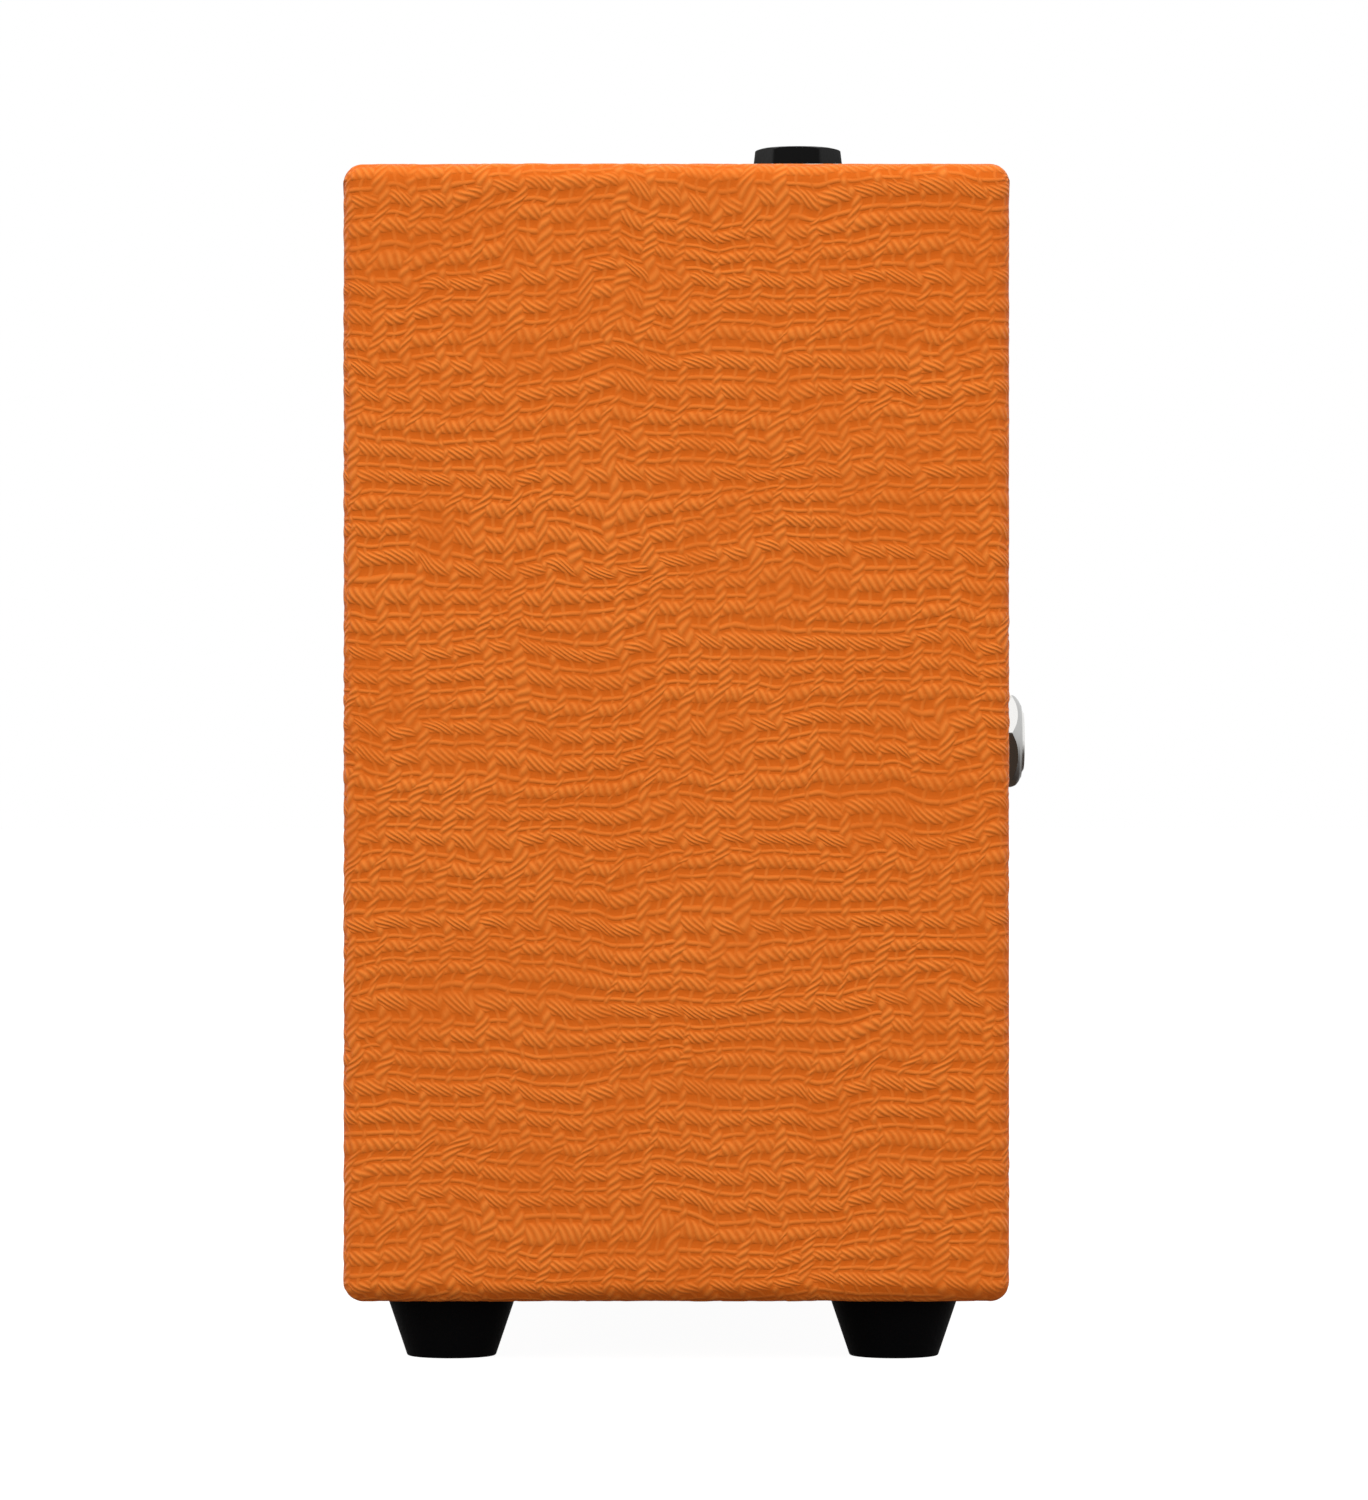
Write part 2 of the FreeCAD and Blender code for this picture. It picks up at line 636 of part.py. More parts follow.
def control_panel():
    """A pressed steel flange on top of the cabinet, with a sunk tray for the knobs."""
    t = D.panel_thick
    x, y = D.panel_half_x, D.panel_half_y
    flange = slab(-x, x, row_y - y, row_y + y, top_z, panel_top)
    flange = rounded(flange, D.panel_round, upright)
    flange = rounded(flange, 0.4, lambda m, d, e: near(m.z, panel_top.value))
    left, right, half = D.tray_left, D.tray_right, D.tray_half_y
    pan = slab(-left - t, right + t, row_y - half - t, row_y + half + t, tray_under, top_z)
    pan = rounded(pan, D.panel_round, upright)
    hollow = slab(-left, right, row_y - half, row_y + half, tray_floor, panel_top + 1)
    hollow = rounded(hollow, D.panel_round - t, upright)
    reach = D.panel_thick + 2

    def through(radius, px, py):
        return rod(radius, reach, px, py, tray_under - 1)

    holes = [through(D.shaft_rad + 0.4, kx, row_y) for kx in knob_xs.values()]
    holes += [through(D.mini_collar - 0.6, mx, my) for mx, my in mini_points()]
    holes += [through(D.light_rad, lx, ly) for lx, ly in light_points()]
    holes.append(through(D.button_rad + D.fit_gap, -D.button_x, row_y - D.low_row))
    slot_y, slot_x, half = row_y - D.low_row, D.slider_slot, 1.6
    holes.append(
        block(
            -D.switch_x - slot_x, -D.switch_x + slot_x, slot_y - half, slot_y + half,
            tray_under - 1, tray_floor + 1,
        )
    )
    holes.append(rod(D.bush_rad + 0.2, 4, D.jack_x, row_y, top_z - 1))
    head, long = D.panel_screw_head, D.panel_screw_long
    holes += [screw_seat(sx, sy, panel_top, "-Z", head, long) for sx, sy in panel_screw_points()]
    finished("control_panel", cut(cut(fuse(flange, pan), hollow), *holes))
    screws = [wood_screw(sx, sy, panel_top, "-Z", head, long) for sx, sy in panel_screw_points()]
    finished("panel_screws", group(*screws))


def mini_points():
    y = row_y + D.mini_back
    return [(-D.mini_x, y), (-D.mini_x + D.mini_pitch, y)]


def light_points():
    """Seven tuner lights in front of the knobs, and one power light beside the switch."""
    y = row_y - D.tray_half_y + 3
    tuner = [(D.gain_x - k * D.light_pitch, y) for k in range(7)]
    return tuner + [(-D.switch_x + 8.5, row_y - D.low_row)]


def standoff_points():
    reach = D.pcb_half_y - 2
    x = D.tray_right - 2.5
    return [(-39.8, row_y - reach), (-27.5, row_y + reach), (x, row_y - reach), (x, row_y + reach)]


def circuit():
    """The circuit board under the tray, hung from it by four spacers, and what is soldered on."""
    low = pcb_top - D.pcb
    half = D.pcb_half_y
    board = block(-D.pcb_left, D.pcb_right, row_y - half, row_y + half, low, pcb_top)
    sockets = [(x, y, D.mini_body / 2 + 0.4) for x, y in mini_points()]
    sockets.append((D.jack_x, row_y, D.jack_body / 2 + 0.4))
    gaps = [block(x - b, x + b, y - b, y + b, low - 1, pcb_top + 1) for x, y, b in sockets]
    finished("circuit_board", cut(board, *gaps))
    posts = [rod(1.8, tray_under - pcb_top, x, y, pcb_top) for x, y in standoff_points()]
    finished("board_standoffs", group(*posts))

    cans = []
    for x in (-8, 2, 12):
        cans.append(fuse(rod(4, 11, x, row_y, low, "-Z"), rod(3.2, 11.4, x, row_y, low, "-Z")))
    chip = block(-30, -20, row_y - 3, row_y + 3, low - 3.2, low)
    tact_y = row_y - D.low_row
    tact = block(-D.button_x - 3, -D.button_x + 3, tact_y - 3, tact_y + 3, pcb_top, pcb_top + D.tact_high)
    lamps = [block(x - 1, x + 1, y - 0.6, y + 0.6, pcb_top, pcb_top + 0.7) for x, y in light_points()]
    finished("board_components", group(*cans, chip, tact, *lamps))

    pipes = []
    for x, y in light_points():
        stem = rod(D.light_rad, tray_floor - pcb_top - 1, x, y, pcb_top + 1)
        dome = common(ball(D.light_rad, x, y, tray_floor), rod(D.light_rad, 2, x, y, tray_floor))
        pipes.append(fuse(stem, dome))
    finished("panel_light_pipes", group(*pipes))


def knobs():
    """Three rotary controls: pot bodies on the board, and a shaft and knob that turn together."""
    shaft, run = D.shaft_rad, D.run_gap
    half_x, half_y = D.pot_wide / 2, D.pot_deep / 2
    cases = []
    for x in knob_xs.values():
        case = block(x - half_x, x + half_x, row_y - half_y, row_y + half_y, pcb_top, pcb_top + D.pot_high)
        cases.append(cut(case, rod(shaft + run, 8, x, row_y, pcb_top + 1)))
    finished("potentiometers", group(*cases))
    low = tray_floor + D.knob_gap
    for name, x in knob_xs.items():
        stem = rod(shaft, low + D.shaft_in - (pcb_top + 1.2), x, row_y, pcb_top + 1.2)
        finished(f"{name}_pot_shaft", cut(stem, shaft_flat(x, low)))
        finished(f"{name}_knob", knob(x, low))


def shaft_flat(x, low):
    """What is cut away to leave the flat that keys a knob to its shaft."""
    return block(x - 4, x + 4, row_y + D.shaft_rad / 2, row_y + 4, low + 1, low + 20)


def knob(x, low):
    """A fluted, slightly tapered knob. Its pointer groove faces the back at rest, at the scale's middle."""
    high, wide, top = D.knob_high, D.knob_rad, D.knob_top_rad
    form = turned(
        [(0, 0), (wide, 0), (wide, 1.2), (wide - 0.4, 1.6), (top, high - 0.6), (top - 0.6, high), (0, high)],
        x, row_y, low,
    )
    bore = cut(rod(D.shaft_rad, D.shaft_in, x, row_y, low), shaft_flat(x, low))
    count, reach = 18, D.knob_rad + 0.1
    flutes = []
    for k in range(count):
        a = 2 * math.pi * (k + 0.5) / count
        flutes.append(rod(0.55, high, x + reach * math.cos(a), row_y + reach * math.sin(a), low + 1.6))
    groove = block(x - 0.4, x + 0.4, row_y + 1.2, row_y + 7, low + high - 0.5, low + high + 1)
    return cut(form, bore, groove, *flutes)


def jacks():
    x, b = D.jack_x, D.jack_body / 2
    body = block(x - b, x + b, row_y - b, row_y + b, top_z - D.jack_deep, top_z)
    bush = rod(D.bush_rad, D.panel_thick + D.nut_high - 0.4, x, row_y, top_z)
    bore = rod(D.plug_rad, D.jack_deep + D.panel_thick + D.nut_high, x, row_y, top_z - D.jack_deep + 1.5)
    ears = block(x - b - 1.6, x + b + 1.6, row_y - 3, row_y + 3, pcb_top, pcb_top + 1.5)
    finished("input_jack", cut(fuse(body, bush, ears), bore))

    h = D.nut_high
    prism = padded(hex_corners(D.nut_flat), h)
    bind(prism.Tip, TaperAngle=draft_angle((D.nut_flat - D.nut_top_flat) / 2, h))
    put(prism, x, row_y, panel_top, FreeCAD.Rotation(Z, D.nut_turn.value))
    crown = turned([(0, 0), (7, 0), (7, h - 1.4), (4.9, h), (0, h)], x, row_y, panel_top)
    hole = rod(D.bush_rad + D.run_gap, 8, x, row_y, top_z)
    finished("input_jack_nut", cut(common(prism, crown), hole))

    sockets = []
    m = D.mini_body / 2
    for mx, my in mini_points():
        case = block(mx - m, mx + m, my - m, my + m, tray_under - D.mini_deep, tray_under)
        sleeve = rod(D.mini_collar - 0.6, 2.2, mx, my, tray_under)
        collar = rod(D.mini_collar, 1.1, mx, my, tray_floor)
        drill = rod(D.mini_rad, D.mini_deep + 4, mx, my, tray_under - D.mini_deep + 1)
        ears = block(mx - m - 1.4, mx + m + 1.4, my - 1.5, my + 1.5, pcb_top, pcb_top + 1)
        sockets.append(cut(fuse(case, sleeve, collar, ears), drill))
    finished("mini_jacks", group(*sockets))


def draft_angle(inset, high):
    """The angle at which a face leans in by inset over that height, as a pad's taper."""
    return Size(f"-atan({inset.text} / {high.text})", -math.degrees(math.atan2(inset.value, high.value)))


def hex_corners(across_flats):
    """The corners of a hexagon about the origin, the first on the X axis."""
    reach = across_flats / math.sqrt(3)
    angles = [math.radians(60 * k) for k in range(6)]
    return [(reach * math.cos(a), reach * math.sin(a)) for a in angles]


def switches():
    """A slide switch for power, and a push button for the tuner. The switch rests at off, to the left."""
    y, x = row_y - D.low_row, -D.switch_x
    under = tray_under - 0.2
    case = block(x - 5.5, x + 5.5, y - 3, y + 3, pcb_top, under)
    slot = block(x - D.slider_slot, x + D.slider_slot, y - 1.4, y + 1.4, pcb_top + 2, under + 1)
    finished("power_switch", cut(case, slot))
    left, half, top = x - D.switch_travel / 2, D.slider_half, tray_floor + D.cap_proud
    body = slab(left - half, left + half, y - 1.2, y + 1.2, pcb_top + 2.3, top)
    body = rounded(body, 0.5, lambda m, d, e: near(m.z, top.value))
    ridges = []
    for step in (-1.0, 0, 1.0):
        ridges.append(block(left + step - 0.15, left + step + 0.15, y - 2, y + 2, top - 0.3, top + 1))
    finished("power_switch_slider", cut(body, *ridges))

    bx = -D.button_x
    rest = pcb_top + D.tact_high + D.button_travel + 0.2
    stop = under - rest
    tall, wide = top - rest, D.button_rad
    cap = turned(
        [
            (0, 0), (1.6, 0), (1.6, stop - 0.8), (wide + 0.9, stop - 0.8), (wide + 0.9, stop),
            (wide, stop), (wide, tall - 0.5), (wide - 0.5, tall), (0, tall),
        ],
        bx, y, rest,
    )
    finished("tuner_button", cap)


# ---------------------------------------------------------------- back


def bay_limits():
    """Inside limits of the battery bay: x0, x1, z0, z1 and the depth of its floor."""
    x1 = -D.bay_right
    x0 = x1 - D.cell_long - D.bay_room
    z0 = D.bay_low
    z1 = z0 + D.cell_high + 1.5
    return x0, x1, z0, z1, back_outer - D.cell_thick - 3.0


def back_panel():
    g = 0.4
    x = room_x - D.skin - g
    low, high = room_low + D.skin + g, room_top - D.skin - g
    board = block(-x, x, back_inner, back_outer, low, high)
    x0, x1, z0, z1, _ = bay_limits()
    w = D.bay_wall + 0.2
    head = D.back_screw_head
    seats = [screw_seat(sx, back_outer, sz, "-Y", head, D.pilot_long) for sx, sz in back_screw_points()]
    holes = [
        block(x0 - w, x1 + w, back_inner - 1, back_outer + 1, z0 - w, z1 + w),
        rod(D.out_bush_rad + 0.25, 8, D.out_x, back_inner - 1, D.out_z, "+Y"),
        rod(D.supply_flange - 1, 8, D.out_x, back_inner - 1, D.supply_z, "+Y"),
    ]
    finished("back_panel", cut(board, *holes, *seats))
    long = D.back_screw_long
    screws = [wood_screw(sx, back_outer, sz, "-Y", head, long) for sx, sz in back_screw_points()]
    finished("back_panel_screws", group(*screws))


def out_nut_turn():
    """Stands the nut's axis along +Y with its first corner a little above the X axis."""
    return TURNS["+Y"] * FreeCAD.Rotation(Z, -D.out_nut_turn.value)


def speaker_out():
    """A quarter inch socket for an extension speaker, held by a chromed nut outside."""
    x, z, b = D.out_x, D.out_z, D.jack_body / 2
    body = block(x - b, x + b, back_inner - D.out_deep, back_inner, z - b, z + b)
    stand, wide = D.back_thick + D.back_recess + D.rear_proud, D.out_bush_rad
    bush = turned(
        [(0, 0), (wide, 0), (wide, stand - 0.45), (wide - 0.7, stand), (0, stand)],
        x, back_inner, z, "+Y",
    )
    bore = rod(D.plug_rad, 60, x, back_inner - D.out_deep + 1.5, z, "+Y")
    finished("speaker_out_jack", cut(fuse(body, bush), bore))
    hole = rod(D.out_bush_rad + D.run_gap, 9, x, back_outer - 1, z, "+Y")
    finished("speaker_out_washer", cut(rod(7.0, D.out_washer, x, back_outer, z, "+Y"), hole))
    seat = back_outer + D.out_washer
    prism = hexagon(D.out_nut_flat, D.out_nut_thick, x, seat, z, out_nut_turn())
    h = D.out_nut_thick
    crown = turned([(0, -1), (7, -1), (7, h - 1.5), (6.1, h - 0.95), (4.9, h), (0, h)], x, seat, z, "+Y")
    finished("speaker_out_nut", cut(common(prism, crown), hole))


def supply():
    """The low-voltage power inlet: a round socket with a centre pin."""
    x, z, f = D.out_x, D.supply_z, D.supply_flange
    seat = D.supply_deep + D.back_thick
    case = turned(
        [
            (0, 0), (f - 1.2, 0), (f - 1.2, seat), (f, seat), (f, seat + 0.7),
            (f - 0.5, seat + 1.2), (0, seat + 1.2),
        ],
        x, back_inner - D.supply_deep, z, "+Y",
    )
    bore = rod(D.supply_rad, 12, x, back_outer + 2, z, "-Y")
    pin = rod(1.05, 10, x, back_outer - 10.5, z, "+Y")
    finished("dc_jack", fuse(cut(case, bore), pin))


def battery_bay():
    """A moulded tub set in the back panel, its hinged door, the battery and its snap connector."""
    x0, x1, z0, z1, floor = bay_limits()
    w, lip = D.bay_wall, D.bezel_lip
    outside = back_outer + D.bezel
    tub = block(x0 - w, x1 + w, floor - w, back_outer, z0 - w, z1 + w)
    bezel = slab(x0 - lip, x1 + lip, back_outer, outside, z0 - lip, z1 + lip)
    bezel = rounded(bezel, 2.0, lambda m, d, e: abs(d.y) > 0.99)
    bezel = rounded(bezel, 0.4, lambda m, d, e: near(m.y, outside.value))
    hollow = block(x0, x1, floor, outside + 1, z0, z1)
    hinge_y = outside - D.door_thick / 2
    hinge_z = z1 - D.door_thick / 2 - D.fit_gap
    sockets = rod(D.hinge_rad + D.run_gap, x1 - x0 + 2.4, x0 - 1.2, hinge_y, hinge_z, "+X")
    middle = (x0 + x1) / 2
    notch = rod(6, 4, middle, outside + 3.4, z0 - 0.5, "-Y")
    lead_hole = rod(1.1, 4, x1 - 1, floor + 9, z1 - 7, "+X")
    finished("battery_box", cut(fuse(tub, bezel), hollow, sockets, notch, lead_hole))

    g = D.fit_gap
    leaf = block(x0 + g, x1 - g, outside - D.door_thick, outside, z0 + g, hinge_z)
    knuckle = rod(D.door_thick / 2, x1 - x0 - 2 * g, x0 + g, hinge_y, hinge_z, "+X")
    pins = rod(D.hinge_rad, x1 - x0 + 2.0, x0 - 1.0, hinge_y, hinge_z, "+X")
    behind = outside - D.door_thick
    tongue = block(middle - 5, middle + 5, behind - 1.6, behind + 0.2, z0 + g, z0 + g + 1.2)
    grips = []
    for k in range(4):
        level = z0 + 8 + 1.6 * k
        grips.append(block(middle - 7, middle + 7, outside - 0.4, outside + 1, level, level + 0.8))
    pull = rod(6, 4, middle, outside + 3.4, z0 - 0.5, "-Y")
    finished("battery_door", cut(fuse(leaf, knuckle, pins, tongue), pull, *grips))
    cell_and_snap(x0 + 0.5, floor + 0.2, z0 + 0.7)


def cell_and_snap(x0, y0, z0):
    """The 9 V battery from its lower left corner, and the snap connector on its two terminals."""
    high = 2.8
    end = x0 + D.cell_long - high
    cell = slab(x0, end, y0, y0 + D.cell_thick, z0, z0 + D.cell_high)
    cell = rounded(cell, 1.2, lambda m, d, e: abs(d.x) > 0.99)
    cy, mid, half = y0 + D.cell_thick / 2, z0 + D.cell_high / 2, D.stud_pitch / 2
    terminals = ((D.stud_rad, mid + half), (D.clip_rad, mid - half))
    studs = [rod(radius, high, end, cy, z, "+X") for radius, z in terminals]
    finished("battery", fuse(cell, *studs))
    cap = slab(end + 0.1, end + 6.0, cy - 6.3, cy + 6.3, mid - 12.6, mid + 12.6)
    cap = rounded(cap, 1.0, lambda m, d, e: abs(d.x) > 0.99)
    wells = [rod(radius + 0.1, high + 0.1, end, cy, z, "+X") for radius, z in terminals]
    finished("battery_snap", cut(cap, *wells))


# ---------------------------------------------------------------- wires inside


def tube(label, route, radius):
    """A wire along straight runs joined by tangent arcs. Each arc is as large as its two runs allow."""
    points = [V(*(size(c).value for c in p)) for p in route]
    radii, edges, start = [], [], points[0]
    for before, at, after in zip(points, points[1:], points[2:]):
        into, out = before - at, after - at
        half_turn = (math.pi - into.getAngle(out)) / 2
        back = 0.45 * min(into.Length, out.Length)
        arc = back / math.tan(half_turn)
        into.normalize()
        out.normalize()
        a, b = at + into * back, at + out * back
        centre = at + (into + out).normalize() * (arc / math.cos(half_turn))
        middle = centre + (at - centre).normalize() * arc
        edges += [Part.LineSegment(start, a).toShape(), Part.Arc(a, middle, b).toShape()]
        radii.append(round(arc, 1))
        start = b
    edges.append(Part.LineSegment(start, points[-1]).toShape())
    path = Part.Wire(edges)
    ring = Part.Wire(Part.Circle(points[0], points[1] - points[0], radius).toShape())
    shape = path.makePipeShell([ring], True, True)
    ratio = shape.Volume / (math.pi * radius**2 * path.Length)
    print(f"{label}: {path.Length:.1f} long, radii {radii}, volume over expected {ratio:.4f}")
    return solid_of(label, shape)


def leads():
    """The two-core leads inside, from the circuit board to the battery, the speaker and the rear sockets."""
    _, x1, _, z1, floor = bay_limits()
    low = pcb_top - D.pcb
    tag_end = baffle_rear + D.gasket + D.sheet_metal + D.tag_long
    tag_z = D.spk_high + D.spk_rad - 2.95
    out_end = back_inner - D.out_deep
    supply_end = back_inner - D.supply_deep
    routes = {
        "battery_lead": [
            (x1 - 2.8, floor + 9, z1 - 7), (6, floor + 9, z1 - 7), (12, 27, 58), (13, 24, 72),
            (14, 24, 92), (17, 24, 112), (24, 22.5, 128), (24, 22.5, low),
        ],
        "speaker_lead": [
            (D.tag_x, tag_end, tag_z), (D.tag_x, -12, tag_z), (5.5, -3, 127.5), (6, 4.5, 131.5),
            (6, 4.5, low),
        ],
        "output_lead": [
            (D.out_x, out_end, 84), (D.out_x, 3, 84), (48, -1, 92), (44, 1, 107), (37, 8, 120),
            (35.5, 12, 130), (35.5, 12, low),
        ],
        "supply_lead": [
            (D.out_x, supply_end, D.supply_z), (D.out_x, 16, D.supply_z), (45, 9, 60), (38, 9, 74),
            (36, 12, 96), (33.5, 18, 116), (33.5, 20, 128), (33.5, 20, low),
        ],
    }
    for label, route in routes.items():
        tube(label, route, D.lead_rad.value)


# ---------------------------------------------------------------- build and write

boards()
covering()
cleats("front_cleats", baffle_rear, baffle_rear + D.cleat_deep)
cleats("rear_cleats", back_inner - D.cleat_deep, back_inner, screwed=True)
front()
feet()
speaker_frame()
moving_cone()
motor()
control_panel()
circuit()
knobs()
jacks()
switches()
back_panel()
speaker_out()
supply()
battery_bay()
leads()
doc.recompute()

failed = [o.Name for o in doc.Objects if {"Invalid", "Error"} & set(o.State)]
for part in parts:
    if part.Shape.isNull() or not part.Shape.isValid() or not part.Shape.Solids:
        failed.append(part.Label)
if failed:
    raise SystemExit(f"these objects failed: {failed}")

os.makedirs("parts", exist_ok=True)
for part in parts:
    part.Shape.exportStep(f"parts/{part.Label}.step")
print(len(parts), "sub-parts written")
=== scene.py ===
import json
import math

import bpy
import numpy as np
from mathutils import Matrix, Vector


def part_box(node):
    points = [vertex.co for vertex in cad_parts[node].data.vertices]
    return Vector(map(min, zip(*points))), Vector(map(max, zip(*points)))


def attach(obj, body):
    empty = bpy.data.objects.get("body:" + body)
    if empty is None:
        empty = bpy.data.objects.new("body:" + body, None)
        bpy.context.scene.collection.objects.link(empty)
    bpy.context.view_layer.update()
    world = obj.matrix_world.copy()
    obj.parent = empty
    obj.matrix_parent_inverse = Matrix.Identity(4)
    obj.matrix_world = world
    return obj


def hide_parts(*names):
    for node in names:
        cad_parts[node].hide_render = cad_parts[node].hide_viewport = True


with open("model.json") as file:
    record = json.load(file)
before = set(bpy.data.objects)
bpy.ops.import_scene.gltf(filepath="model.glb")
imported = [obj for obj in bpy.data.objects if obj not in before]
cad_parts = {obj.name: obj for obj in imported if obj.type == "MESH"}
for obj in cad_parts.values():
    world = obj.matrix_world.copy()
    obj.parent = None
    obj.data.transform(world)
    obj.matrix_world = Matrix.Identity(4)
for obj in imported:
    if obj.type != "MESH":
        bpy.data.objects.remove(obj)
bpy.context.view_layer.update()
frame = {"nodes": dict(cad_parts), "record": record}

MM = 0.001

# The cabinet, from the frame. Lengths are in metres, apart from those of the weave.
COVER_LOW, COVER_HIGH = (Vector(c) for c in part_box("vinyl_covering"))
CENTRE = (COVER_LOW + COVER_HIGH) / 2
HALF_X, _, HALF_Z = (COVER_HIGH - COVER_LOW) / 2
SPEAKER_Z = sum(corner[2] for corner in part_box("speaker_basket")) / 2
FEET = [f"foot_{end}_{side}" for end in ("front", "rear") for side in ("left", "right")]

# ---------------------------------------------------------------- materials

SOCKETS = {
    "color": "Base Color",
    "rough": "Roughness",
    "metal": "Metallic",
    "normal": "Normal",
    "coat": "Coat Weight",
    "sheen": "Sheen Weight",
    "specular": "Specular IOR Level",
    "glow": "Emission Color",
    "glow_strength": "Emission Strength",
    "transmission": "Transmission Weight",
}


class Shade:
    """A node material under construction. A value is a socket, a number or a colour."""

    def __init__(self, name, **inputs):
        self.material = bpy.data.materials.new(name)
        self.material.use_nodes = True
        self.tree = self.material.node_tree
        self.shader = next(n for n in self.tree.nodes if n.type == "BSDF_PRINCIPLED")
        self.set(**inputs)

    def set(self, **inputs):
        for key, value in inputs.items():
            self.feed(self.shader.inputs[SOCKETS[key]], value)

    def feed(self, socket, value):
        if isinstance(value, bpy.types.NodeSocket):
            self.tree.links.new(value, socket)
        elif isinstance(value, tuple) and len(value) == 3 and socket.type == "RGBA":
            socket.default_value = (*value, 1.0)
        else:
            socket.default_value = value

    def node(self, kind, inputs=(), **settings):
        made = self.tree.nodes.new(f"ShaderNode{kind}")
        for key, value in settings.items():
            setattr(made, key, value)
        for key, value in dict(inputs).items():
            self.feed(made.inputs[key], value)
        return made

    def math(self, operation, *values, clamp=False):
        made = self.node("Math", enumerate(values), operation=operation, use_clamp=clamp)
        return made.outputs[0]

    def place(self, scale=(1.0, 1.0, 1.0)):
        """The object's own coordinates, in metres, stretched by scale."""
        coords = self.node("TexCoord").outputs["Object"]
        return self.node("Mapping", {"Vector": coords, "Scale": scale}).outputs[0]

    def noise(self, vector, scale, detail=3.0, rough=0.5):
        inputs = {"Vector": vector, "Scale": scale, "Detail": detail, "Roughness": rough}
        return self.node("TexNoise", inputs).outputs["Fac"]

    def mix(self, amount, first, second):
        made = self.node("Mix", data_type="RGBA")
        self.feed(made.inputs[0], amount)
        self.feed(made.inputs[6], first)
        self.feed(made.inputs[7], second)
        return made.outputs[2]

    def span(self, value, low, high, first=0.0, second=1.0, smooth=True):
        """value taken from low..high to first..second, held at both ends."""
        kind = "SMOOTHSTEP" if smooth else "LINEAR"
        inputs = {"Value": value, "From Min": low, "From Max": high, "To Min": first, "To Max": second}
        return self.node("MapRange", inputs, interpolation_type=kind).outputs[0]

    def bump(self, height, depth):
        """A normal for a height of 0 to 1 that stands for depth metres."""
        return self.node("Bump", {"Height": height, "Distance": depth, "Strength": 1.0}).outputs[0]


# The embossed weave, in millimetres of covering: u runs along the rows, v across them. AT and HALF
# of the rope and the thin thread are the middle and half the width of a band, as parts of a row.
# FLOOR is the height left between two strands, where 1 is the height along them.
ROW = 3.62  # from one rope to the next
PITCH = 4.3  # from one column of crossings to the next
ROPE_AT, ROPE_HALF, ROPE_LEAN, ROPE_STRANDS, ROPE_FLOOR = 0.27, 0.26, 1.1, 4, 0.25
THIN_AT, THIN_HALF, THIN_HIGH = 0.70, 0.09, 0.62
CROSS_HALF, CROSS_SOFT, CROSS_LEAN, CROSS_STRANDS = 0.55, 0.6, 0.75, 3
CROSS_HIGH, CROSS_FLOOR = 0.95, 0.15
NOTCH = 0.75  # how far a crossing cuts into a rope
THREAD_HALF, THREAD_HIGH = 0.3, 0.4
SWAYS = ((0.3025, 0.13), (0.6852, 0.08))  # turns in a row, and the columns' sway in pitches
WARPS = ((22.0, 1.0, 1.3), (7.0, 0.8, 0.95), (2.6, 0.35, 0.42))  # cell, sway along u, and along v
STRETCH = 2.0  # a sway's cell is this much longer along the sway, so strands keep their width
CROWDING = 0.6  # how far rows move towards each other in places
RELIEF = 0.12 * MM  # in the mesh
STRAND_RELIEF = 0.12 * MM  # in the material


